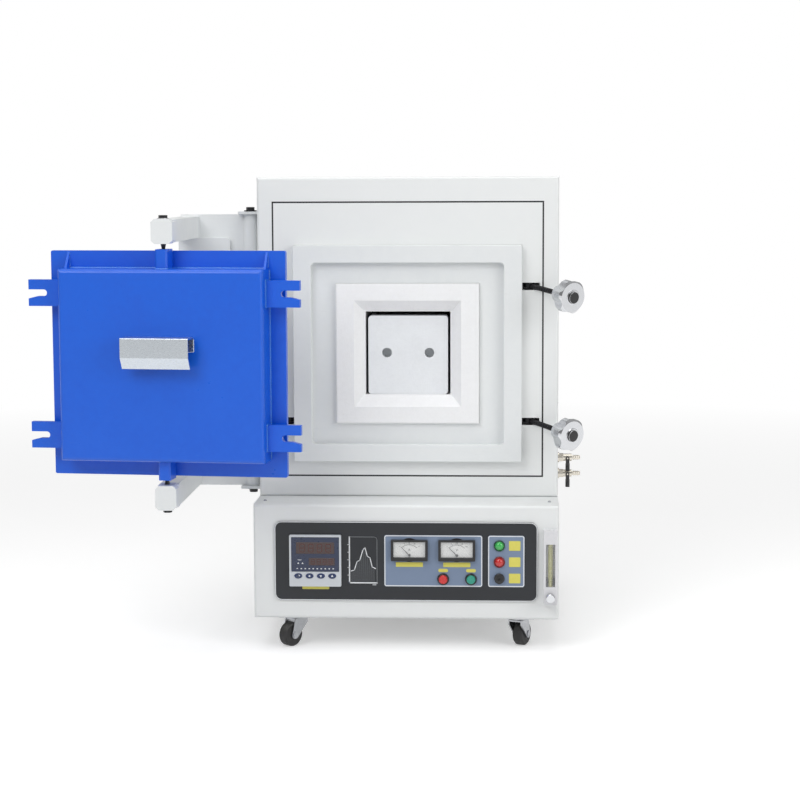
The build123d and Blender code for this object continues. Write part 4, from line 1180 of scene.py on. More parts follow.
class Workshop:
    """Makes objects from shapes, gives them their finish and seats them on a body."""

    def __init__(self, frame: dict[str, Any]) -> None:
        """Reads the frame and builds the shared groups.
        """
        self.nodes: dict[str, bpy.types.Object] = frame["nodes"]
        self.datum = Datum.from_frame()
        self.effects = Effects()
        self.trees = Trees()
        self._materials: dict[Paint, bpy.types.Material] = {}

    def material(self, paint: Paint) -> bpy.types.Material:
        """The material of a finish, built on first use."""
        if paint not in self._materials:
            self._materials[paint] = paint.value.build(self.effects)
        return self._materials[paint]

    def dress(self, node: str, paint: Paint) -> None:
        """Gives a CAD node a finish.

        Args:
            node: the node's name.
            paint: its finish.
        """
        target = self.nodes[node]
        if not target.material_slots:
            target.data.materials.append(self.material(paint))
        for slot in target.material_slots:
            slot.material = self.material(paint)
        LOG.info("dressed %s in %s", node, paint.value.name)

    def mesh(self, name: str, shape: Shape, place: Optional[Matrix] = None) -> bpy.types.Mesh:
        """Turns a shape into a mesh in the shared frame.

        Args:
            name: the mesh's name.
            shape: the shape in millimetres.
            place: a carry in millimetres, such as the open door's.

        Returns:
            The mesh, with its normals out.
        """
        carry = self.datum.matrix() @ (place or Matrix.Identity(4))
        mesh = bpy.data.meshes.new(name)
        mesh.from_pydata([carry @ point for point in shape.points], [], shape.faces)
        mesh.validate()
        work = self._bmesh(mesh)
        work.to_mesh(mesh)
        work.free()
        mesh.update()
        return mesh

    @staticmethod
    def _bmesh(mesh: bpy.types.Mesh) -> Any:
        """Opens a mesh with its normals recalculated."""
        work = bmesh.new()
        work.from_mesh(mesh)
        bmesh.ops.recalc_face_normals(work, faces=work.faces)
        return work

    def seat(
        self, name: str, mesh: bpy.types.Mesh, paint: Paint, body: str,
        smooth: Optional[float] = None,
    ) -> bpy.types.Object:
        """Makes the object, dresses it and lets it ride on a body.

        Args:
            name: the piece's name.
            mesh: its mesh, in the shared frame.
            paint: its finish.
            body: the body that it rides on.
            smooth: the largest angle that is shaded smooth, in degrees.

        Returns:
            The piece.
        """
        mesh.materials.clear()
        mesh.materials.append(self.material(paint))
        piece = bpy.data.objects.new(name, mesh)
        bpy.context.scene.collection.objects.link(piece)
        if smooth is not None:
            mesh.shade_smooth()
            mesh.set_sharp_from_angle(angle=math.radians(smooth))
        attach(piece, body)
        LOG.info("made %s, %d faces, on %s", name, len(mesh.polygons), body)
        return piece

    def make(
        self, name: str, shape: Shape, paint: Paint, body: str, place: Optional[Matrix] = None,
        smooth: Optional[float] = None,
    ) -> bpy.types.Object:
        """Makes a piece from a shape.

        Args:
            name: the piece's name.
            shape: its shape in millimetres.
            paint: its finish.
            body: the body that it rides on.
            place: a carry in millimetres.
            smooth: the largest angle that is shaded smooth, in degrees.

        Returns:
            The piece.
        """
        return self.seat(name, self.mesh(name, shape, place), paint, body, smooth)

    def grown(
        self, carrier: bpy.types.Object, tree: Any, values: dict[str, Any],
    ) -> bpy.types.Mesh:
        """Runs a Geometry Nodes tree on an object and takes the plain mesh.

        Args:
            carrier: the object that the tree starts from; it is removed.
            tree: the tree.
            values: values of its named inputs.

        Returns:
            The resulting mesh.
        """
        names = {
            item.name: item.identifier
            for item in tree.interface.items_tree
            if item.in_out == "INPUT"
        }
        modifier = carrier.modifiers.new("Growth", "NODES")
        modifier.node_group = tree
        for key, value in values.items():
            modifier[names[key]] = value
        bpy.context.view_layer.update()
        ready = carrier.evaluated_get(bpy.context.evaluated_depsgraph_get())
        mesh = bpy.data.meshes.new_from_object(ready)
        carrier.modifiers.remove(modifier)
        bpy.data.objects.remove(carrier)
        return mesh

    def carrier(self, name: str, mesh: bpy.types.Mesh) -> bpy.types.Object:
        """Links a helper object that a tree starts from."""
        helper = bpy.data.objects.new(name + "_carrier", mesh)
        bpy.context.scene.collection.objects.link(helper)
        return helper

    def repeated(
        self, name: str, template: Shape, spots: Sequence[tuple[Vector, Euler]], paint: Paint,
        body: str, place: Optional[Matrix] = None, smooth: Optional[float] = None,
    ) -> bpy.types.Object:
        """Puts one template on many spots with Geometry Nodes.

        Args:
            name: the piece's name.
            template: the shape about its own origin, in millimetres.
            spots: place and turn of each, in millimetres and radians.
            paint: its finish.
            body: the body that it rides on.
            place: a carry of all of it, in millimetres.
            smooth: the largest angle that is shaded smooth, in degrees.

        Returns:
            The piece.
        """
        dots = bpy.data.meshes.new(name + "_dots")
        dots.from_pydata([spot for spot, _ in spots], [], [])
        turns = dots.attributes.new("turn", "FLOAT_VECTOR", "POINT")
        turns.data.foreach_set("vector", [value for _, turn in spots for value in turn])
        model_mesh = bpy.data.meshes.new(name + "_template")
        model_mesh.from_pydata(template.points, [], template.faces)
        work = self._bmesh(model_mesh)
        work.to_mesh(model_mesh)
        work.free()
        model = self.carrier(name + "_model", model_mesh)
        values = {"Template": model, "Size": 1.0, "Material": self.material(paint)}
        mesh = self.grown(self.carrier(name, dots), self.trees.repeat, values)
        bpy.data.objects.remove(model)
        mesh.transform(self.datum.matrix() @ (place or Matrix.Identity(4)))
        return self.seat(name, mesh, paint, body, smooth)

    def bead(
        self, name: str, lines: Sequence[Sequence[Sequence[float]]], radius: float, paint: Paint,
        body: str, place: Optional[Matrix] = None, ripple: float = 0.22,
    ) -> bpy.types.Object:
        """Lays rippled weld beads along lines.

        Args:
            name: the piece's name.
            lines: each a list of points in millimetres.
            radius: the bead's radius in millimetres.
            paint: its finish.
            body: the body that it rides on.
            place: a carry in millimetres.
            ripple: how deep the ripples are.

        Returns:
            The piece.
        """
        points: list[Vector] = []
        edges: list[tuple[int, int]] = []
        for line in lines:
            start = len(points)
            points += [Vector(point) for point in line]
            edges += [(start + i, start + i + 1) for i in range(len(line) - 1)]
        wire = bpy.data.meshes.new(name + "_line")
        wire.from_pydata(points, edges, [])
        values = {
            "Radius": radius, "Pitch": radius * 1.6, "Ripple": ripple,
            "Material": self.material(paint),
        }
        mesh = self.grown(self.carrier(name, wire), self.trees.bead, values)
        mesh.transform(self.datum.matrix() @ (place or Matrix.Identity(4)))
        return self.seat(name, mesh, paint, body, 60)

    def thread(
        self, name: str, radius: float, pitch: float, length: float, paint: Paint, body: str,
        place: Matrix,
    ) -> bpy.types.Object:
        """Winds a thread's ridge about an axis.

        Args:
            name: the piece's name.
            radius: the ridge's middle radius in millimetres.
            pitch: the rise of one turn in millimetres.
            length: the threaded length in millimetres.
            paint: its finish.
            body: the body that it rides on.
            place: carries the Z axis from the origin to the thread's own, in millimetres.

        Returns:
            The piece.
        """
        values = {
            "Radius": radius, "Ridge": pitch * 0.33, "Turns": length / pitch, "Length": length,
            "Material": self.material(paint),
        }
        blank = self.carrier(name, bpy.data.meshes.new(name + "_blank"))
        mesh = self.grown(blank, self.trees.thread, values)
        mesh.transform(self.datum.matrix() @ place)
        return self.seat(name, mesh, paint, body)

    def words(
        self, name: str, items: Sequence[tuple[str, float, float, float]], y: float, paint: Paint
    ) -> bpy.types.Object:
        """Prints numbers or letters on an upright face of the cabinet.

        Args:
            name: the piece's name.
            items: text, middle across, middle up and height, in millimetres.
            y: Y of the face.
            paint: its finish.

        Returns:
            The piece.
        """
        shapes = []
        for text, x, z, height in items:
            curve = bpy.data.curves.new(name + "_text", "FONT")
            curve.body = text
            curve.size = height * 1.4
            curve.align_x = "CENTER"
            curve.align_y = "CENTER"
            curve.extrude = 0.05
            curve.resolution_u = 3
            helper = bpy.data.objects.new(name + "_text", curve)
            bpy.context.scene.collection.objects.link(helper)
            bpy.context.view_layer.update()
            ready = helper.evaluated_get(bpy.context.evaluated_depsgraph_get())
            flat = bpy.data.meshes.new_from_object(ready)
            upright = Matrix.Translation((x, y, z)) @ Matrix.Rotation(math.pi / 2, 4, "X")
            shapes.append(
                Shape(
                    [upright @ v.co for v in flat.vertices],
                    [tuple(p.vertices) for p in flat.polygons],
                )
            )
            bpy.data.objects.remove(helper)
        return self.make(name, together(shapes), paint, Body.CABINET.value)


@dataclass
class Cabinet:
    """The seam strip, screws and welds on the casing, base and front panel."""

    shop: Workshop
    opening_width: float = 509.0
    opening_bottom: float = 311.0
    opening_top: float = 829.5
    seam: float = 3.0
    half_width: float = 282.5
    depth: float = 560.0
    top: float = 875.0
    base_top: float = 273.0
    base_bottom: float = 60.0
    screw_inset: float = 12.0

    def build(self) -> None:
        """Makes every piece of the cabinet."""
        self.seam_shade_strip()
        self.rear_screws()
        self.ledge_screws()
        self.bracket_welds()

    def seam_shade_strip(self) -> None:
        """A black strip in the seam round the front panel: painted shade standing in for the
        shadow in the gap.
        """
        middle = (self.opening_bottom + self.opening_top) / 2
        height = self.opening_top - self.opening_bottom
        # Painted shade: this black strip stands in for the shadow inside the seam.
        strip = band(0, middle, self.opening_width, height, self.seam, 0.7, 1.95, 0.3)
        self.shop.make("front_seam_gasket", strip, Paint.SEAM_SHADE, Body.CABINET.value)

    @staticmethod
    def screw_head(radius: float, height: float) -> Shape:
        """A domed screw head along -Y with a cross recess.

        Args:
            radius: its radius.
            height: how far it stands out.

        Returns:
            The head, about the middle of its seat.
        """
        head = turned(
            [
                (radius, 0.0), (radius, -height * 0.35), (radius * 0.86, -height * 0.75),
                (radius * 0.5, -height), (0, -height * 1.04),
            ], 20,
        )
        slot = radius * 0.55
        wide = radius * 0.16
        cross = prism(
            [(-slot, -wide), (slot, -wide), (slot, wide), (-slot, wide)], -height * 1.1, 0,
        )
        upright = prism(
            [(-wide, -slot), (wide, -slot), (wide, slot), (-wide, slot)], -height * 1.1, 0,
        )
        return head + cross + upright

    def rear_screws(self) -> None:
        """Screws round the edges of both rear panels."""
        spots = []
        about = Euler((0, 0, math.pi))
        for bottom, top in ((self.base_bottom, self.base_top), (self.base_top, self.top)):
            rows = 2 if top - bottom < 300 else 5
            for row in range(rows):
                z = bottom + self.screw_inset + row * (
                    top - bottom - 2 * self.screw_inset
                ) / (rows - 1)
                for column in range(5):
                    if 0 < row < rows - 1 and 0 < column < 4:
                        continue
                    x = (column / 2 - 1) * (self.half_width - self.screw_inset)
                    spots.append((Vector((x, self.depth, z)), about))
        self.shop.repeated(
            "rear_panel_screws", self.screw_head(3.4, 2.0), spots, Paint.ZINC, Body.CABINET.value,
            smooth=40,
        )

    def ledge_screws(self) -> None:
        """The two small screws at the ends of the base's ledge."""
        up = Euler((-math.pi / 2, 0, 0))
        spots = [(Vector((side * 265.2, -60.0, self.base_top)), up) for side in (-1, 1)]
        self.shop.repeated(
            "ledge_screws", self.screw_head(3.2, 2.4), spots, Paint.ZINC, Body.CABINET.value,
            smooth=40,
        )

    def bracket_welds(self) -> None:
        """Weld beads where the hinge brackets meet the casing's side."""
        x = -self.half_width - 4.0
        lines = []
        for z0, z1 in ((805.3, 835.3), (274.7, 284.7)):
            lines.append([(x + 3.4, 34.6, z0), (x + 3.4, 34.6, z1)])
            lines.append([(x + 3.4, 85.4, z0), (x + 3.4, 85.4, z1)])
        self.shop.bead("hinge_bracket_welds", lines, 1.6, Paint.WHITE_BEAD, Body.CABINET.value)


@dataclass
class SwingBolts:
    """The four swing bolts: threads, black caps and rings."""

    shop: Workshop
    bolt_x: float = 226.0
    bolt_y: float = 16.0
    upper_z: float = 672.0
    lower_z: float = 418.0
    cant: float = 12.3
    turn: float = 39.0
    rod_radius: float = 4.5
    thread_start: float = 12.0
    thread_end: float = 79.5
    pitch: float = 1.5
    cap_front: float = 134.2
    cap_height: float = 4.0
    cap_radius: float = 11.0

    def place(self, side: int, z: float) -> Matrix:
        """The carry of a bolt from the origin to its open place.

        Args:
            side: -1 on the left, 1 on the right.
            z: height of its pivot.

        Returns:
            The carry in millimetres.
        """
        return (
            Matrix.Translation((side * self.bolt_x, self.bolt_y, z))
            @ Matrix.Rotation(math.radians(side * self.cant), 4, "Y")
            @ Matrix.Rotation(math.radians(side * self.turn), 4, "Z")
        )

    def build(self) -> None:
        """Makes the pieces of all four bolts."""
        for side, hand in ((-1, "left"), (1, "right")):
            for level, z in (("upper", self.upper_z), ("lower", self.lower_z)):
                self.one(f"{level}_{hand}", self.place(side, z))

    def one(self, name: str, place: Matrix) -> None:
        """Makes the pieces of one bolt.

        Args:
            name: which bolt.
            place: its carry in millimetres.
        """
        lay = Matrix.Rotation(math.pi / 2, 4, "X")
        along = place @ Matrix.Translation((0, -self.thread_start, 0)) @ lay
        length = self.thread_end - self.thread_start
        self.shop.thread(
            f"thread_{name}", self.rod_radius, self.pitch, length, Paint.BLACK_STEEL,
            f"bolt_{name}", along,
        )
        front = -self.cap_front
        radius = self.cap_radius
        cap = turned(
            [
                (radius + 0.25, front + self.cap_height - 0.05), (radius + 0.25, front + 0.9),
                (radius - 0.5, front - 0.1), (radius * 0.55, front - 0.45), (0, front - 0.6),
            ], 40,
        )
        self.shop.make(f"cap_{name}", cap, Paint.BLACK_PLASTIC, f"knob_{name}", place, smooth=35)
        seat_y = front + self.cap_height
        ring = turned(
            [
                (radius + 3.2, seat_y + 0.4), (radius + 3.2, seat_y - 0.5),
                (radius + 2.4, seat_y - 1.1), (radius + 0.3, seat_y - 1.1),
                (radius + 0.3, seat_y + 0.4),
            ], 40,
        )
        self.shop.make(f"cap_ring_{name}", ring, Paint.CHROME, f"knob_{name}", place, smooth=35)


@dataclass
class Door:
    """Weld beads of the blue door, which is described shut."""

    shop: Workshop
    mouth_z: float = 545.0
    box_width: float = 370.0
    box_height: float = 340.0
    box_front: float = -90.0
    plate_front: float = -34.0
    plate_height: float = 402.0
    ear_setback: float = 24.0
    ear_thickness: float = 12.0
    ear_height: float = 47.0
    lug_width: float = 22.0
    lug_depth: float = 40.0
    handle_width: float = 122.0
    pivot_x: float = -418.0
    pivot_front: float = -242.0
    pivot_y: float = -56.0
    turn: float = -6.0
    bead_radius: float = 2.2

    def place(self) -> Matrix:
        """The carry from the shut door to the open one."""
        return (
            Matrix.Translation((self.pivot_x, self.pivot_front, 0))
            @ Matrix.Rotation(math.radians(self.turn), 4, "Z")
            @ Matrix.Translation((0, -self.pivot_y, 0))
        )

    def build(self) -> None:
        """Makes every piece of the door."""
        self.box_welds()
        self.ear_welds()
        self.lug_welds()
        self.rib_welds()
        self.handle_welds()

    def lay(self, name: str, lines: Sequence[Sequence[Sequence[float]]], radius: float) -> None:
        """Lays beads on the door, in a lighter blue than the door as a painted highlight.

        Args:
            name: the piece's name.
            lines: the lines in millimetres, on the shut door.
            radius: the bead's radius.
        """
        self.shop.bead(name, lines, radius, Paint.BEAD, Body.DOOR.value, self.place())

    def box_welds(self) -> None:
        """The bead that joins the box to the door plate, all round."""
        outline = rounded(0, self.mouth_z, self.box_width, self.box_height, 6.5)
        line = [(x, self.plate_front, z) for x, z in [*outline, outline[0]]]
        self.lay("door_box_weld", [line], self.bead_radius)

    def ear_welds(self) -> None:
        """The beads where the four ears meet the sides of the box."""
        lines = []
        front = self.box_front + self.ear_setback
        back = front + self.ear_thickness
        for side in (-1, 1):
            x = side * self.box_width / 2
            for bolt_z in (672.0, 418.0):
                low, high = bolt_z - self.ear_height / 2, bolt_z + self.ear_height / 2
                lines.append(
                    [
                        (x, front, low), (x, front, high), (x, back, high), (x, back, low),
                        (x, front, low),
                    ]
                )
        self.lay("ear_welds", lines, 1.9)

    def lug_welds(self) -> None:
        """The beads at both sides and the front of the two pivot lugs."""
        lines = []
        half = self.lug_width / 2
        front = self.plate_front - self.lug_depth
        for level in (-1, 1):
            z = self.mouth_z + level * self.box_height / 2
            lines.append(
                [
                    (-half, self.plate_front, z), (-half, front, z), (half, front, z),
                    (half, self.plate_front, z),
                ]
            )
        self.lay("lug_welds", lines, 1.9)

    def rib_welds(self) -> None:
        """The beads beside the two ribs that stiffen the top of the plate."""
        lines = []
        for side in (-1, 1):
            for edge in (-2.0, 2.0):
                x = side * 181.0 + edge
                top = self.mouth_z + self.plate_height / 2 - 4.0
                lines.append(
                    [(x, self.plate_front, self.mouth_z + 172.0), (x, self.plate_front, top)]
                )
        self.lay("rib_welds", lines, 1.2)

    def handle_welds(self) -> None:
        """The beads that hold the handle's foot to the box."""
        top = self.mouth_z + 51.0
        foot = top - 24.0
        half = self.handle_width / 2
        front = self.box_front - 0.3
        lines = [
            [(-half, front, foot), (-half, front, top - 3.0)],
            [(half, front, foot), (half, front, top - 3.0)],
        ]
        self.shop.bead(
            "handle_welds", lines, 1.1, Paint.BRUSHED, Body.DOOR.value, self.place(), ripple=0.3
        )


@dataclass
class SwingArm:
    """Weld beads and washers of the swing arm."""

    shop: Workshop
    hinge_x: float = -302.0
    hinge_y: float = 60.0
    barrel: float = 13.0
    offset: float = 116.0
    length: float = 302.0
    top: float = 805.0
    bottom: float = 285.0
    leg: float = 8.0
    leg_height: float = 80.0
    bar: float = 34.0
    bar_height: float = 40.0
    bar_drop: float = 4.0

    def build(self) -> None:
        """Makes every piece of the arm."""
        self.welds()
        self.lock_nuts()

    def welds(self) -> None:
        """Beads at the barrel, at the bars' corners and at the pivot blocks."""
        lines = []
        left = self.hinge_x - self.offset - self.bar / 2
        right = left + self.bar
        leg_front = self.hinge_y - self.leg / 2
        block_back = self.hinge_y - self.length + 20.0
        for level, edge in ((1, self.top), (-1, self.bottom)):
            inner = edge - level * self.leg_height
            near = self.hinge_x - self.barrel + 0.6
            for side in (-1, 1):
                y = self.hinge_y + side * self.leg / 2
                lines.append([(near, y, edge - level * 2), (near, y, inner)])
            outer_z = edge - level * self.bar_drop
            inner_z = outer_z - level * self.bar_height
            lines.append([(right, leg_front, outer_z), (right, leg_front, inner_z)])
            lines.append([(left, leg_front, outer_z), (right, leg_front, outer_z)])
            lines.append([(right, block_back, outer_z), (right, block_back, inner_z)])
            lines.append([(left, block_back, outer_z), (right, block_back, outer_z)])
        self.shop.bead("arm_welds", lines, 1.8, Paint.WHITE_BEAD, Body.ARM.value)

    def lock_nuts(self) -> None:
        """Thin washers under the heads of the pivot screws."""
        x = self.hinge_x - self.offset
        y = self.hinge_y - self.length
        stand = Matrix.Rotation(-math.pi / 2, 4, "X")
        shapes = []
        for level, edge in ((1, self.top), (-1, self.bottom)):
            z = edge - level * (self.bar_drop + self.bar_height / 2 - 22.0)
            washer = turned([(9.6, 0.0), (9.6, 0.9), (9.0, 1.3), (0, 1.3)], 32)
            upright = stand if level < 0 else Matrix.Rotation(math.pi / 2, 4, "X")
            shapes.append(washer.moved(Matrix.Translation((x, y, z)) @ upright))
        self.shop.make("pivot_washers", together(shapes), Paint.ZINC, Body.ARM.value, smooth=35)


@dataclass
class Controller:
    """The temperature controller's face, displays, marks and keys."""

    shop: Workshop
    x: float = -167.0
    z: float = 170.0
    size: float = 96.0
    front: float = -116.0
    recess: float = 2.0
    border: float = 3.5
    strip: float = 24.0
    key_pitch: float = 21.0
    key_z: float = 142.0
    key_front: float = -117.0

    def build(self) -> None:
        """Makes every piece of the controller."""
        self.face()
        self.displays()
        self.marks()
        self.keys()

    def face(self) -> None:
        """The dark film behind the window."""
        low = self.z - self.size / 2 + self.border + self.strip
        high = self.z + self.size / 2 - self.border
        film = plate(
            self.x, (low + high) / 2, self.size - 2 * self.border - 0.3, high - low - 0.3,
            self.front + self.recess - 0.5, self.front + self.recess + 0.02, 1.5, 0.2,
        )
        self.shop.make("controller_face", film, Paint.FACE, Body.CABINET.value)

    @staticmethod
    def digit(x: float, z: float, width: float, height: float, y: float) -> Shape:
        """Seven unlit segments.

        Args:
            x: middle across.
            z: middle up.
            width: size across.
            height: size up.
            y: Y of the face that carries them.

        Returns:
            The segments.
        """
        w, h, line = width / 2, height / 2, width * 0.17
        runs = [
            [(x - w * 0.7, z + h), (x + w * 0.7, z + h)], [(x - w * 0.7, z), (x + w * 0.7, z)],
            [(x - w * 0.7, z - h), (x + w * 0.7, z - h)],
        ]
        for side in (-1, 1):
            runs.append([(x + side * w, z + h * 0.15), (x + side * w, z + h * 0.85)])
            runs.append([(x + side * w, z - h * 0.15), (x + side * w, z - h * 0.85)])
        return together(stroke(run, line, y - 0.06, y + 0.02) for run in runs)

    def displays(self) -> None:
        """The two dark displays with their unlit digits."""
        floor = self.front + self.recess - 0.5
        upper = plate(self.x, 193.8, 71.0, 21.5, floor - 0.4, floor + 0.02, 1.2, 0.25)
        lower = plate(self.x + 12.0, 168.3, 48.0, 14.0, floor - 0.4, floor + 0.02, 1.0, 0.25)
        self.shop.make("controller_displays", upper + lower, Paint.DISPLAY, Body.CABINET.value)
        digits = []
        for k in range(4):
            digits.append(self.digit(self.x + (k - 1.5) * 16.0, 193.8, 8.6, 14.5, floor - 0.4))
            digits.append(
                self.digit(self.x + 12.0 + (k - 1.5) * 11.0, 168.3, 5.8, 9.4, floor - 0.4)
            )
        self.shop.make("controller_segments", together(digits), Paint.SEGMENT, Body.CABINET.value)

    def marks(self) -> None:
        """Small printed marks and the row of indicator lights."""
        floor = self.front + self.recess - 0.5
        left = self.x - 36.0
        shapes = [stroke([(left + 4, 171.5), (left + 10, 171.5)], 1.0, floor - 0.12, floor + 0.02)]
        for k in range(2):
            x = left + 4.5 + k * 8.0
            shapes.append(
                prism([(x - 1.8, 164.2), (x + 1.8, 164.2), (x, 167.2)], floor - 0.12, floor + 0.02)
            )
        self.shop.make("controller_marks", together(shapes), Paint.PRINT_WHITE, Body.CABINET.value)
        dot = prism([(-1.3, -0.9), (1.3, -0.9), (1.3, 0.9), (-1.3, 0.9)], -0.14, 0.02)
        spots = [
            (Vector((self.x + (k - 4.5) * 7.4, floor, 155.2)), Euler((0, 0, 0))) for k in range(10)
        ]
        self.shop.repeated("indicator_marks", dot, spots, Paint.PRINT_WHITE, Body.CABINET.value)

    def keys(self) -> None:
        """Rubber keys with a white symbol on each."""
        caps = []
        for k in range(4):
            x = self.x + (k - 1.5) * self.key_pitch
            loops = []
            for grow, y in (
                (0.35, self.front + 0.05), (0.35, self.key_front - 0.1),
                (-0.3, self.key_front - 0.55), (-1.2, self.key_front - 0.75),
            ):
                loops.append(
                    [
                        Vector(
                            (
                                x + (7.0 + grow) * math.cos(a * math.pi / 18),
                                y,
                                self.key_z + (4.5 + grow) * math.sin(a * math.pi / 18),
                            )
                        )
                        for a in range(36)
                    ]
                )
            caps.append(skin(loops))
        self.shop.make("controller_keys", together(caps), Paint.KEY, Body.CABINET.value, smooth=40)
        y = self.key_front - 0.75
        first = self.x - 1.5 * self.key_pitch
        ring = [
            (first + 2.3 * math.cos(math.radians(a)), self.key_z + 2.3 * math.sin(math.radians(a)))
            for a in range(60, 361, 20)
        ]
        symbols = [stroke(ring, 0.8, y - 0.1, y + 0.05)]
        symbols.append(
            prism(
                [
                    (first + 0.6, self.key_z + 0.2), (first + 4.0, self.key_z + 0.2),
                    (first + 2.3, self.key_z + 2.2),
                ], y - 0.1, y + 0.05,
            )
        )
        for k, turn in ((1, 180.0), (2, 270.0), (3, 90.0)):
            middle = self.x + (k - 1.5) * self.key_pitch
            corners = []
            for corner in (0.0, 120.0, 240.0):
                angle = math.radians(turn + corner)
                corners.append(
                    (middle + 2.7 * math.cos(angle), self.key_z + 2.7 * math.sin(angle))
                )
            symbols.append(prism(corners, y - 0.1, y + 0.05))
        self.shop.make("key_symbols", together(symbols), Paint.PRINT_WHITE, Body.CABINET.value)


@dataclass
class Meters:
    """Dial cards, scales and covers of the two panel meters."""

    shop: Workshop
    xs: tuple[float, float] = (7.0, 94.5)
    window_z: float = 191.9
    width: float = 59.0
    height: float = 29.0
    dial: float = -112.5
    front: float = -118.0
    pin_z: float = 181.4
    scale_radius: float = 19.0
    half_sweep: float = 45.0

    def build(self) -> None:
        """Makes both meters' pieces."""
        for x, name, unit, step in (
            (self.xs[0], "ammeter", "A", 10), (self.xs[1], "voltmeter", "V", 75),
        ):
            self.card(x, name)
            self.scale(x, name)
            self.numbers(x, name, unit, step)
            self.cover(x, name)

    def card(self, x: float, name: str) -> None:
        """The white dial card in the window, with a slot for the needle's pin.

        Args:
            x: the meter's middle.
            name: which meter.
        """
        outline = rounded(0, 0, self.width - 0.5, self.height - 0.5, 1.0)
        outer = [Vector((x + px, self.dial - 0.25, self.window_z + pz)) for px, pz in outline]
        count = len(outline)
        hole = []
        for px, pz in outline:
            angle = math.atan2(self.window_z + pz - self.pin_z, px)
            hole.append(
                Vector(
                    (
                        x + 1.6 * math.cos(angle), self.dial - 0.25,
                        self.pin_z + 1.6 * math.sin(angle),
                    )
                )
            )
        faces = [(i, (i + 1) % count, count + (i + 1) % count, count + i) for i in range(count)]
        back = [point + Vector((0, 0.2, 0)) for point in outer + hole]
        start = 2 * count
        faces += [tuple(start + i for i in reversed(face)) for face in faces]
        for ring in (0, count):
            for i in range(count):
                j = (i + 1) % count
                faces.append((ring + i, ring + j, start + ring + j, start + ring + i))
        shape = Shape(outer + hole + back, faces)
        self.shop.make(f"{name}_card", shape, Paint.DIAL, Body.CABINET.value)

    def scale(self, x: float, name: str) -> None:
        """The arc and its ticks.

        Args:
            x: the meter's middle.
            name: which meter.
        """
        front, back = self.dial - 0.4, self.dial - 0.2
        arc = []
        for k in range(31):
            angle = math.radians(90 + self.half_sweep - 3.0 * k)
            arc.append(
                (
                    x + self.scale_radius * math.cos(angle),
                    self.pin_z + self.scale_radius * math.sin(angle),
                )
            )
        self.shop.make(
            f"{name}_arc", stroke(arc, 0.35, front, back), Paint.PRINT_BLACK, Body.CABINET.value
        )
        long_tick = prism([(-0.2, 0), (0.2, 0), (0.2, 2.1), (-0.2, 2.1)], -0.4, -0.2)
        short_tick = prism([(-0.12, 0), (0.12, 0), (0.12, 1.2), (-0.12, 1.2)], -0.4, -0.2)
        for label, template, count in (("long", long_tick, 5), ("short", short_tick, 41)):
            spots = []
            for k in range(count):
                turn = self.half_sweep - 2 * self.half_sweep * k / (count - 1)
                angle = math.radians(90 + turn)
                spots.append(
                    (
                        Vector(
                            (
                                x + self.scale_radius * math.cos(angle), self.dial,
                                self.pin_z + self.scale_radius * math.sin(angle),
                            )
                        ), Euler((0, math.radians(-turn), 0)),
                    )
                )
            self.shop.repeated(
                f"{name}_{label}_ticks", template, spots, Paint.PRINT_BLACK, Body.CABINET.value
            )

    def numbers(self, x: float, name: str, unit: str, step: int) -> None:
        """The scale's numbers and the unit's letter.

        Args:
            x: the meter's middle.
            name: which meter.
            unit: the letter.
            step: difference between two numbers.
        """
        items = []
        for k in range(5):
            angle = math.radians(90 + self.half_sweep - 22.5 * k)
            radius = self.scale_radius + 4.0
            place_x = x + radius * math.cos(angle) * 1.08
            place_z = min(self.pin_z + radius * math.sin(angle), self.window_z + 12.3)
            items.append((str(k * step), place_x, place_z, 2.3))
        items.append((unit, x, self.pin_z + 9.5, 5.0))
        self.shop.words(f"{name}_numbers", items, self.dial - 0.3, Paint.PRINT_BLACK)

    def cover(self, x: float, name: str) -> None:
        """The clear cover with its raised rim.

        Args:
            x: the meter's middle.
            name: which meter.
        """
        pane = plate(
            x, self.window_z, self.width - 0.3, self.height - 0.3, -117.6, -117.0, 1.0, 0.2,
        )
        self.shop.make(f"{name}_cover", pane, Paint.COVER, Body.CABINET.value)
        lip = band(
            x, self.window_z - 1.5, 67.6, 38.6, 1.1, self.front - 0.35, self.front + 0.05, 2.0,
        )
        self.shop.make(f"{name}_rim", lip, Paint.BLACK_PLASTIC, Body.CABINET.value)


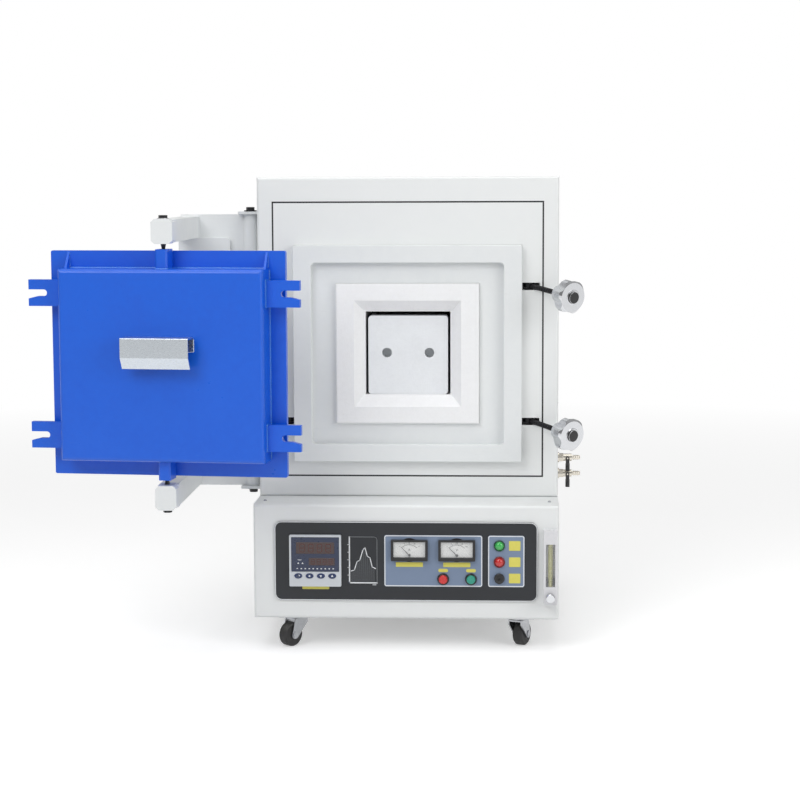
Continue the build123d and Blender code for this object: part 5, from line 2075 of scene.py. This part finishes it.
@dataclass
class PanelFittings:
    """Button bezels, pilot lamps and buzzer, which stand for the CAD's fittings."""

    shop: Workshop
    face: float = -109.5
    button_xs: tuple[float, float] = (69.3, 120.6)
    button_z: float = 136.5
    lamp_x: float = 172.8
    lamp_zs: tuple[float, float, float] = (199.1, 168.7, 138.3)

    def build(self) -> None:
        """Makes every fitting."""
        bezels = self.button_bezels()
        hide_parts("panel_fittings")
        self.lamp("green_lamp", self.lamp_zs[0], Paint.GREEN_BEZEL, Paint.GREEN_LENS)
        self.lamp("red_lamp", self.lamp_zs[1], Paint.RED_BEZEL, Paint.RED_LENS)
        self.buzzer()

    def at(self, x: float, z: float) -> Matrix:
        """The carry from the origin to a place on the face of the plates."""
        return Matrix.Translation((x, self.face, z))

    def button_bezels(self) -> bpy.types.Object:
        """Two round bezels, open in the middle.

        Returns:
            The piece.
        """
        ring = self.hollow(
            [(8.4, 0.0), (11.0, 0.0), (11.0, -2.6), (10.2, -3.6), (8.9, -4.0), (8.4, -3.8)]
        )
        shapes = [ring.moved(self.at(x, self.button_z)) for x in self.button_xs]
        return self.shop.make(
            "button_bezels", together(shapes), Paint.BLACK_PLASTIC, Body.CABINET.value, smooth=35
        )

    @staticmethod
    def hollow(profile: Sequence[Point], steps: int = 40) -> Shape:
        """A turned ring from a closed profile.

        Args:
            profile: (radius, Y) round the ring's section.
            steps: how many sides it has.

        Returns:
            The ring about the Y axis.
        """
        loops = []
        for radius, y in [*profile, profile[0]]:
            loops.append(
                [
                    Vector(
                        (
                            radius * math.cos(2 * math.pi * k / steps),
                            y,
                            radius * math.sin(2 * math.pi * k / steps),
                        )
                    )
                    for k in range(steps)
                ]
            )
        return skin(loops, closed_ends=False)

    def lamp(self, name: str, z: float, bezel: Paint, lens: Paint) -> None:
        """A domed lens in a stepped bezel, with its round body behind the panel.

        Args:
            name: which lamp.
            z: its height.
            bezel: the bezel's finish.
            lens: the lens's finish.
        """
        ring = self.hollow(
            [
                (7.4, 0.0), (10.5, 0.0), (10.5, -1.6), (9.9, -2.9), (8.9, -3.5), (8.1, -3.3),
                (7.9, -2.2),
            ]
        )
        self.shop.make(
            f"{name}_bezel", ring.moved(self.at(self.lamp_x, z)), bezel, Body.CABINET.value,
            smooth=35,
        )
        dome = [(7.9, -0.1)]
        for k in range(0, 9):
            angle = math.radians(k * 90 / 8)
            dome.append((0 if k == 8 else 7.9 * math.cos(angle), -3.0 - 5.4 * math.sin(angle)))
        body = turned([(6.0, 14.9), (6.0, 3.2), *dome], 40)
        self.shop.make(
            f"{name}_lens", body.moved(self.at(self.lamp_x, z)), lens, Body.CABINET.value,
            smooth=35,
        )

    def buzzer(self) -> None:
        """The black buzzer with a round sound hole."""
        body = turned(
            [
                (6.0, 14.9), (6.0, 3.2), (9.5, 0.0), (9.5, -5.6), (8.4, -6.8), (5.6, -7.0),
                (5.0, -6.4), (3.0, -6.4), (2.5, -6.9), (2.2, -6.9), (2.0, -4.2), (0, -4.2),
            ], 40,
        )
        self.shop.make(
            "buzzer", body.moved(self.at(self.lamp_x, self.lamp_zs[2])), Paint.BLACK_PLASTIC,
            Body.CABINET.value, smooth=30,
        )


@dataclass
class Fascia:
    """Painted edge highlights, blank tags and the printed curve on the fascia."""

    shop: Workshop
    front: float = -108.0
    plate_front: float = -109.5
    width: float = 486.0
    height: float = 148.0
    z: float = 168.5
    plate_z: float = 170.0

    def build(self) -> None:
        """Makes every printed or applied piece and the painted edge highlights."""
        self.edge_highlights()
        self.tags()
        self.curve()

    def edge_highlights(self) -> None:
        """Painted highlight lines, in white print, along the edges of the fascia and of both
        instrument plates.
        """
        y = self.front
        # Painted highlight: thin white bands where the edges catch the light.
        outer = band(0, self.z, self.width - 0.4, self.height - 0.4, 1.5, y - 0.12, y + 0.03, 13.0)
        meter = band(51.0, self.plate_z, 180.4, 95.4, 1.8, y - 1.62, y - 1.45, 4.0)
        lamp = band(185.5, self.plate_z, 66.4, 95.4, 1.8, y - 1.62, y - 1.45, 4.0)
        self.shop.make(
            "fascia_outlines", outer + meter + lamp, Paint.PRINT_WHITE, Body.CABINET.value
        )

    def tags(self) -> None:
        """Blank yellow tags under the controller and the meters and beside the lamps."""
        face = self.plate_front
        tags = [plate(-167.0, 119.6, 50.0, 8.0, self.front - 0.35, self.front + 0.02, 1.0)]
        for x in (7.0, 94.5):
            tags.append(plate(x, 163.2, 50.0, 8.7, face - 0.35, face + 0.02, 1.0))
        for x in (69.3, 120.6):
            tags.append(plate(x, 152.4, 18.0, 6.4, face - 0.35, face + 0.02, 3.1))
        for z in (199.1, 168.7, 138.3):
            tags.append(plate(201.0, z, 21.0, 18.0, face - 0.35, face + 0.02, 1.2))
        self.shop.make("blank_tags", together(tags), Paint.TAG, Body.CABINET.value)

    def curve(self) -> None:
        """A plain heating curve in a box with axes, ticks and hatching."""
        left, right, low, high = -104.0, -53.0, 128.0, 214.0
        front, back = self.front - 0.14, self.front + 0.02
        white = [stroke([(left, high), (left, low), (right, low)], 2.2, front, back)]
        for k in range(5):
            z = low + (high - low) * (k + 1) / 6
            white.append(stroke([(left - 3.0, z), (left, z)], 1.1, front, back))
        line = [
            (left + 3, low + 22), (left + 9, low + 24), (left + 14, low + 40),
            (left + 19, low + 42), (left + 25, low + 62), (left + 29, low + 66),
            (left + 33, low + 50), (left + 38, low + 47), (left + 42, low + 30),
            (right - 3, low + 27),
        ]
        white.append(stroke(line, 1.5, front - 0.02, back))
        white.append(stroke([(right - 8, low - 3.6), (right - 2, low - 3.6)], 1.0, front, back))
        self.shop.make("curve_print", together(white), Paint.PRINT_WHITE, Body.CABINET.value)
        grey = [
            stroke([(left, high), (right - 5, high), (right - 1.5, high - 1.5)], 1.2, front, back),
            stroke([(right - 1.5, high - 1.5), (right, high - 5), (right, low)], 1.2, front, back),
        ]
        for k in range(12):
            x = left + 4.5 + k * 3.7
            grey.append(
                stroke([(x, low + 3), (x, self.height_at(line, x) - 2.5)], 0.8, front, back)
            )
        self.shop.make("curve_hatching", together(grey), Paint.PRINT_GREY, Body.CABINET.value)

    @staticmethod
    def height_at(line: Sequence[Point], x: float) -> float:
        """How high a line of points is at x.

        Args:
            line: its points, with x rising.
            x: where.

        Returns:
            The height.
        """
        for (x0, z0), (x1, z1) in zip(line, line[1:]):
            if x0 <= x <= x1:
                return z0 + (z1 - z0) * (x - x0) / (x1 - x0)
        return line[-1][1] if x > line[-1][0] else line[0][1]


@dataclass
class Flowmeter:
    """Pane, scale, fittings and knob ribs of the flowmeter."""

    shop: Workshop
    x: float = 266.5
    front: float = -125.0
    window_low: float = 125.5
    window_high: float = 204.6
    knob_z: float = 107.0

    def build(self) -> None:
        """Makes every piece of the flowmeter."""
        self.pane()
        self.scale()
        self.fittings()
        self.knob_grip()

    def pane(self) -> None:
        """The clear front of the window, with its rounded edge."""
        middle = (self.window_low + self.window_high) / 2
        height = self.window_high - self.window_low
        pane = plate(
            self.x, middle, 16.6, height - 0.4, self.front + 0.3, self.front + 1.3, 1.0, 0.3,
        )
        self.shop.make("flowmeter_pane", pane, Paint.COVER, Body.CABINET.value)

    def scale(self) -> None:
        """Short printed marks beside the tube."""
        mark = prism([(-1.6, -0.25), (1.6, -0.25), (1.6, 0.25), (-1.6, 0.25)], -0.1, 0.05)
        spots = []
        for k in range(21):
            z = self.window_low + 6.0 + k * (self.window_high - self.window_low - 12.0) / 20
            spots.append((Vector((self.x + 6.4, self.front + 0.3, z)), Euler((0, 0, 0))))
        self.shop.repeated("flow_scale", mark, spots, Paint.PRINT_BLACK, Body.CABINET.value)

    def fittings(self) -> None:
        """Two dark glands either side of the tube's lower end."""
        shapes = []
        for side in (-1, 1):
            x = self.x + side * 6.6
            shapes.append(
                beam(
                    (x - 1.7, self.front + 2.0, self.window_low + 0.2),
                    (x + 1.7, self.front + 13.0, self.window_low + 16.0), 0.5,
                )
            )
        self.shop.make("tube_glands", together(shapes), Paint.BLACK_PLASTIC, Body.CABINET.value)

    def knob_grip(self) -> None:
        """Fine ribs round the needle valve's knob."""
        rib = prism([(-0.45, 0), (0.45, 0), (0.25, 0.5), (-0.25, 0.5)], 0.0, 9.5)
        spots = []
        for k in range(28):
            angle = 2 * math.pi * k / 28
            spots.append(
                (
                    Vector(
                        (
                            self.x + 7.9 * math.cos(angle), self.front - 12.5,
                            self.knob_z + 7.9 * math.sin(angle),
                        )
                    ), Euler((0, math.pi / 2 - angle, 0)),
                )
            )
        self.shop.repeated("flow_knob_ribs", rib, spots, Paint.CHROME, Body.FLOW_KNOB.value)


@dataclass
class GasValves:
    """Barbs and lever grips of the two valves on the right side."""

    shop: Workshop
    y: float = 45.0
    zs: tuple[float, float] = (342.6, 312.2)
    barrel_end: float = 309.5

    def build(self) -> None:
        """Makes every piece of the valves."""
        self.barbs()
        self.grips()

    def barbs(self) -> None:
        """Rings on the spigots that hold a hose."""
        barb = turned([(3.9, 0.0), (4.75, 0.0), (4.75, -0.6), (3.9, -3.2)], 24)
        spots = []
        for z in self.zs:
            for k in range(3):
                x = self.barrel_end + 3.0 + k * 3.6
                spots.append((Vector((x, self.y, z)), Euler((0, 0, math.pi / 2))))
        self.shop.repeated("hose_barbs", barb, spots, Paint.BRASS, Body.CABINET.value, smooth=35)

    def grips(self) -> None:
        """Dark sleeves on the lower half of both levers."""
        for body, z in (("upper_lever", self.zs[0]), ("lower_lever", self.zs[1])):
            low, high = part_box(body)
            inverse = self.shop.datum.matrix().inverted()
            a, b = inverse @ low, inverse @ high
            grip = beam((a.x - 0.5, a.y - 0.5, a.z - 0.3), (b.x + 0.5, b.y + 0.2, a.z + 15.0), 0.7)
            self.shop.make(f"{body}_grip", grip, Paint.BLACK_PLASTIC, body, smooth=50)


@dataclass
class Stage:
    """Floor, backdrop, lights and camera."""

    shop: Workshop
    eye: tuple[float, float, float] = (182.92, -3737.57, 869.08)
    yaw: float = 0.0529245
    pitch: float = 0.1097629
    roll: float = -0.0037036
    lens: float = 89.897

    def build(self) -> None:
        """Makes the whole stage."""
        self.camera()
        self.floor()
        self.world()
        self.lamps()
        view = bpy.context.scene.view_settings
        view.view_transform = "Standard"

    def camera(self) -> None:
        """The camera at the photograph's viewing angle."""
        data = bpy.data.cameras.new("camera")
        data.sensor_width = 36.0
        data.lens = self.lens
        data.clip_end = 60.0
        holder = bpy.data.objects.new("camera", data)
        bpy.context.scene.collection.objects.link(holder)
        sy, cy = math.sin(self.yaw), math.cos(self.yaw)
        sp, cp = math.sin(self.pitch), math.cos(self.pitch)
        ahead = Vector((-sy * cp, cy * cp, -sp))
        right0 = Vector((cy, sy, 0))
        up0 = Vector((-sy * sp, cy * sp, cp))
        sr, cr = math.sin(self.roll), math.cos(self.roll)
        right = right0 * cr + up0 * sr
        up = up0 * cr - right0 * sr
        turn = Matrix((right, up, -ahead)).transposed().to_4x4()
        place = self.shop.datum.matrix() @ Vector(self.eye)
        holder.matrix_world = Matrix.Translation(place) @ turn
        bpy.context.scene.camera = holder

    def floor(self) -> None:
        """A wide pale floor that fades to white far from the furnace."""
        mesh = bpy.data.meshes.new("floor")
        half = 16.0
        mesh.from_pydata(
            [(-half, -half, 0), (half, -half, 0), (half, half, 0), (-half, half, 0)], [],
            [(0, 1, 2, 3)],
        )
        ground = bpy.data.objects.new("floor", mesh)
        bpy.context.scene.collection.objects.link(ground)
        material = bpy.data.materials.new("pale_floor")
        material.use_nodes = True
        graph = Graph(material.node_tree)
        nodes = material.node_tree.nodes
        surface = nodes["Principled BSDF"]
        surface.inputs["Base Color"].default_value = (0.82, 0.82, 0.82, 1)
        surface.inputs["Roughness"].default_value = 0.7
        surface.inputs["Specular IOR Level"].default_value = 0.15
        where = graph.add("ShaderNodeTexCoord").outputs["Object"]
        far = graph.add("ShaderNodeVectorMath", {0: where}, operation="LENGTH")
        fade = graph.spread(far.outputs["Value"], 1.2, 4.0, 0.0, 1.0)
        path = graph.add("ShaderNodeLightPath")
        seen = graph.reckon(
            "MAXIMUM", path.outputs["Is Camera Ray"], path.outputs["Is Glossy Ray"],
        )
        seen = graph.reckon("MAXIMUM", seen.outputs[0], path.outputs["Is Transmission Ray"])
        lift = graph.add("ShaderNodeEmission", {"Color": (1, 1, 1, 1), "Strength": 0.36})
        near = graph.add("ShaderNodeAddShader", {0: surface.outputs[0], 1: lift.outputs[0]})
        white = graph.add("ShaderNodeEmission", {"Color": (1, 1, 1, 1), "Strength": 1.0})
        shown = graph.add(
            "ShaderNodeMixShader", {0: fade.outputs[0], 1: near.outputs[0], 2: white.outputs[0]}
        )
        whole = graph.add(
            "ShaderNodeMixShader", {0: seen.outputs[0], 1: surface.outputs[0], 2: shown.outputs[0]}
        )
        graph.link(whole.outputs[0], nodes["Material Output"].inputs["Surface"])
        mesh.materials.append(material)
        ground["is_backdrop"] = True

    def world(self) -> None:
        """A soft room: white where the camera sees it, a gentle gradient for the light."""
        world = bpy.data.worlds.new("soft_room")
        bpy.context.scene.world = world
        world.use_nodes = True
        graph = Graph(world.node_tree)
        nodes = world.node_tree.nodes
        back = nodes["Background"]
        back.inputs["Color"].default_value = (1, 1, 1, 1)
        where = graph.add("ShaderNodeTexCoord").outputs["Generated"]
        split = graph.add("ShaderNodeSeparateXYZ", {0: where})
        height = graph.spread(split.outputs[2], -0.2, 0.9, 0.27, 0.57)
        behind = graph.spread(split.outputs[1], -0.5, 0.4, 0.75, 1.0)
        level = graph.reckon("MULTIPLY", height.outputs[0], behind.outputs[0])
        path = graph.add("ShaderNodeLightPath")
        shown = graph.add(
            "ShaderNodeMix", {0: path.outputs["Is Camera Ray"], 2: level.outputs[0], 3: 1.0},
            data_type="FLOAT",
        )
        graph.link(shown.outputs[0], back.inputs["Strength"])

    def lamps(self) -> None:
        """Three large soft lamps."""
        for name, place, aim, size, power in (
            ("key", (-1500.0, -2700.0, 2600.0), (0.0, 0.0, 450.0), 1.9, 46.0),
            ("fill", (2300.0, -1900.0, 1500.0), (0.0, 0.0, 450.0), 1.8, 30.0),
            ("top", (-200.0, -300.0, 3000.0), (-100.0, 100.0, 400.0), 2.2, 26.0),
        ):
            data = bpy.data.lights.new(name, "AREA")
            data.shape = "SQUARE"
            data.size = size
            data.energy = power
            lamp = bpy.data.objects.new(name, data)
            bpy.context.scene.collection.objects.link(lamp)
            matrix = self.shop.datum.matrix()
            start, end = matrix @ Vector(place), matrix @ Vector(aim)
            turn = (end - start).to_track_quat("-Z", "Y").to_matrix().to_4x4()
            lamp.matrix_world = Matrix.Translation(start) @ turn


def dress_nodes(shop: Workshop) -> None:
    """Gives every CAD node its finish.

    Args:
        shop: the workshop that holds the nodes.
    """
    for node in sorted(shop.nodes):
        paint = NODE_PAINT.get(node)
        for family, family_paint in FAMILY_PAINT.items():
            if paint is None and node.startswith(family):
                paint = family_paint
        shop.dress(node, paint or Paint.CASING)


def corners(box: Any) -> list[list[float]]:
    """Two corners as plain lists of numbers.

    Args:
        box: the lowest and the highest corner.

    Returns:
        The same as lists.
    """
    return [[float(value) for value in corner] for corner in box]


def main() -> None:
    """Builds the furnace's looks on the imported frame."""
    logging.basicConfig(level=logging.INFO, format="%(name)s: %(message)s")
    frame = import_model()
    frame_box = corners(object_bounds())
    shop = Workshop(frame)
    Stage(shop).build()
    dress_nodes(shop)
    for assembly in (
        Cabinet, SwingBolts, Door, SwingArm, Fascia, Controller, Meters, PanelFittings, Flowmeter,
        GasValves,
    ):
        assembly(shop).build()
        LOG.info("finished %s", assembly.__name__)
    {"frame": frame_box, "looks": corners(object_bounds())}


if __name__ == "__main__":
    main()
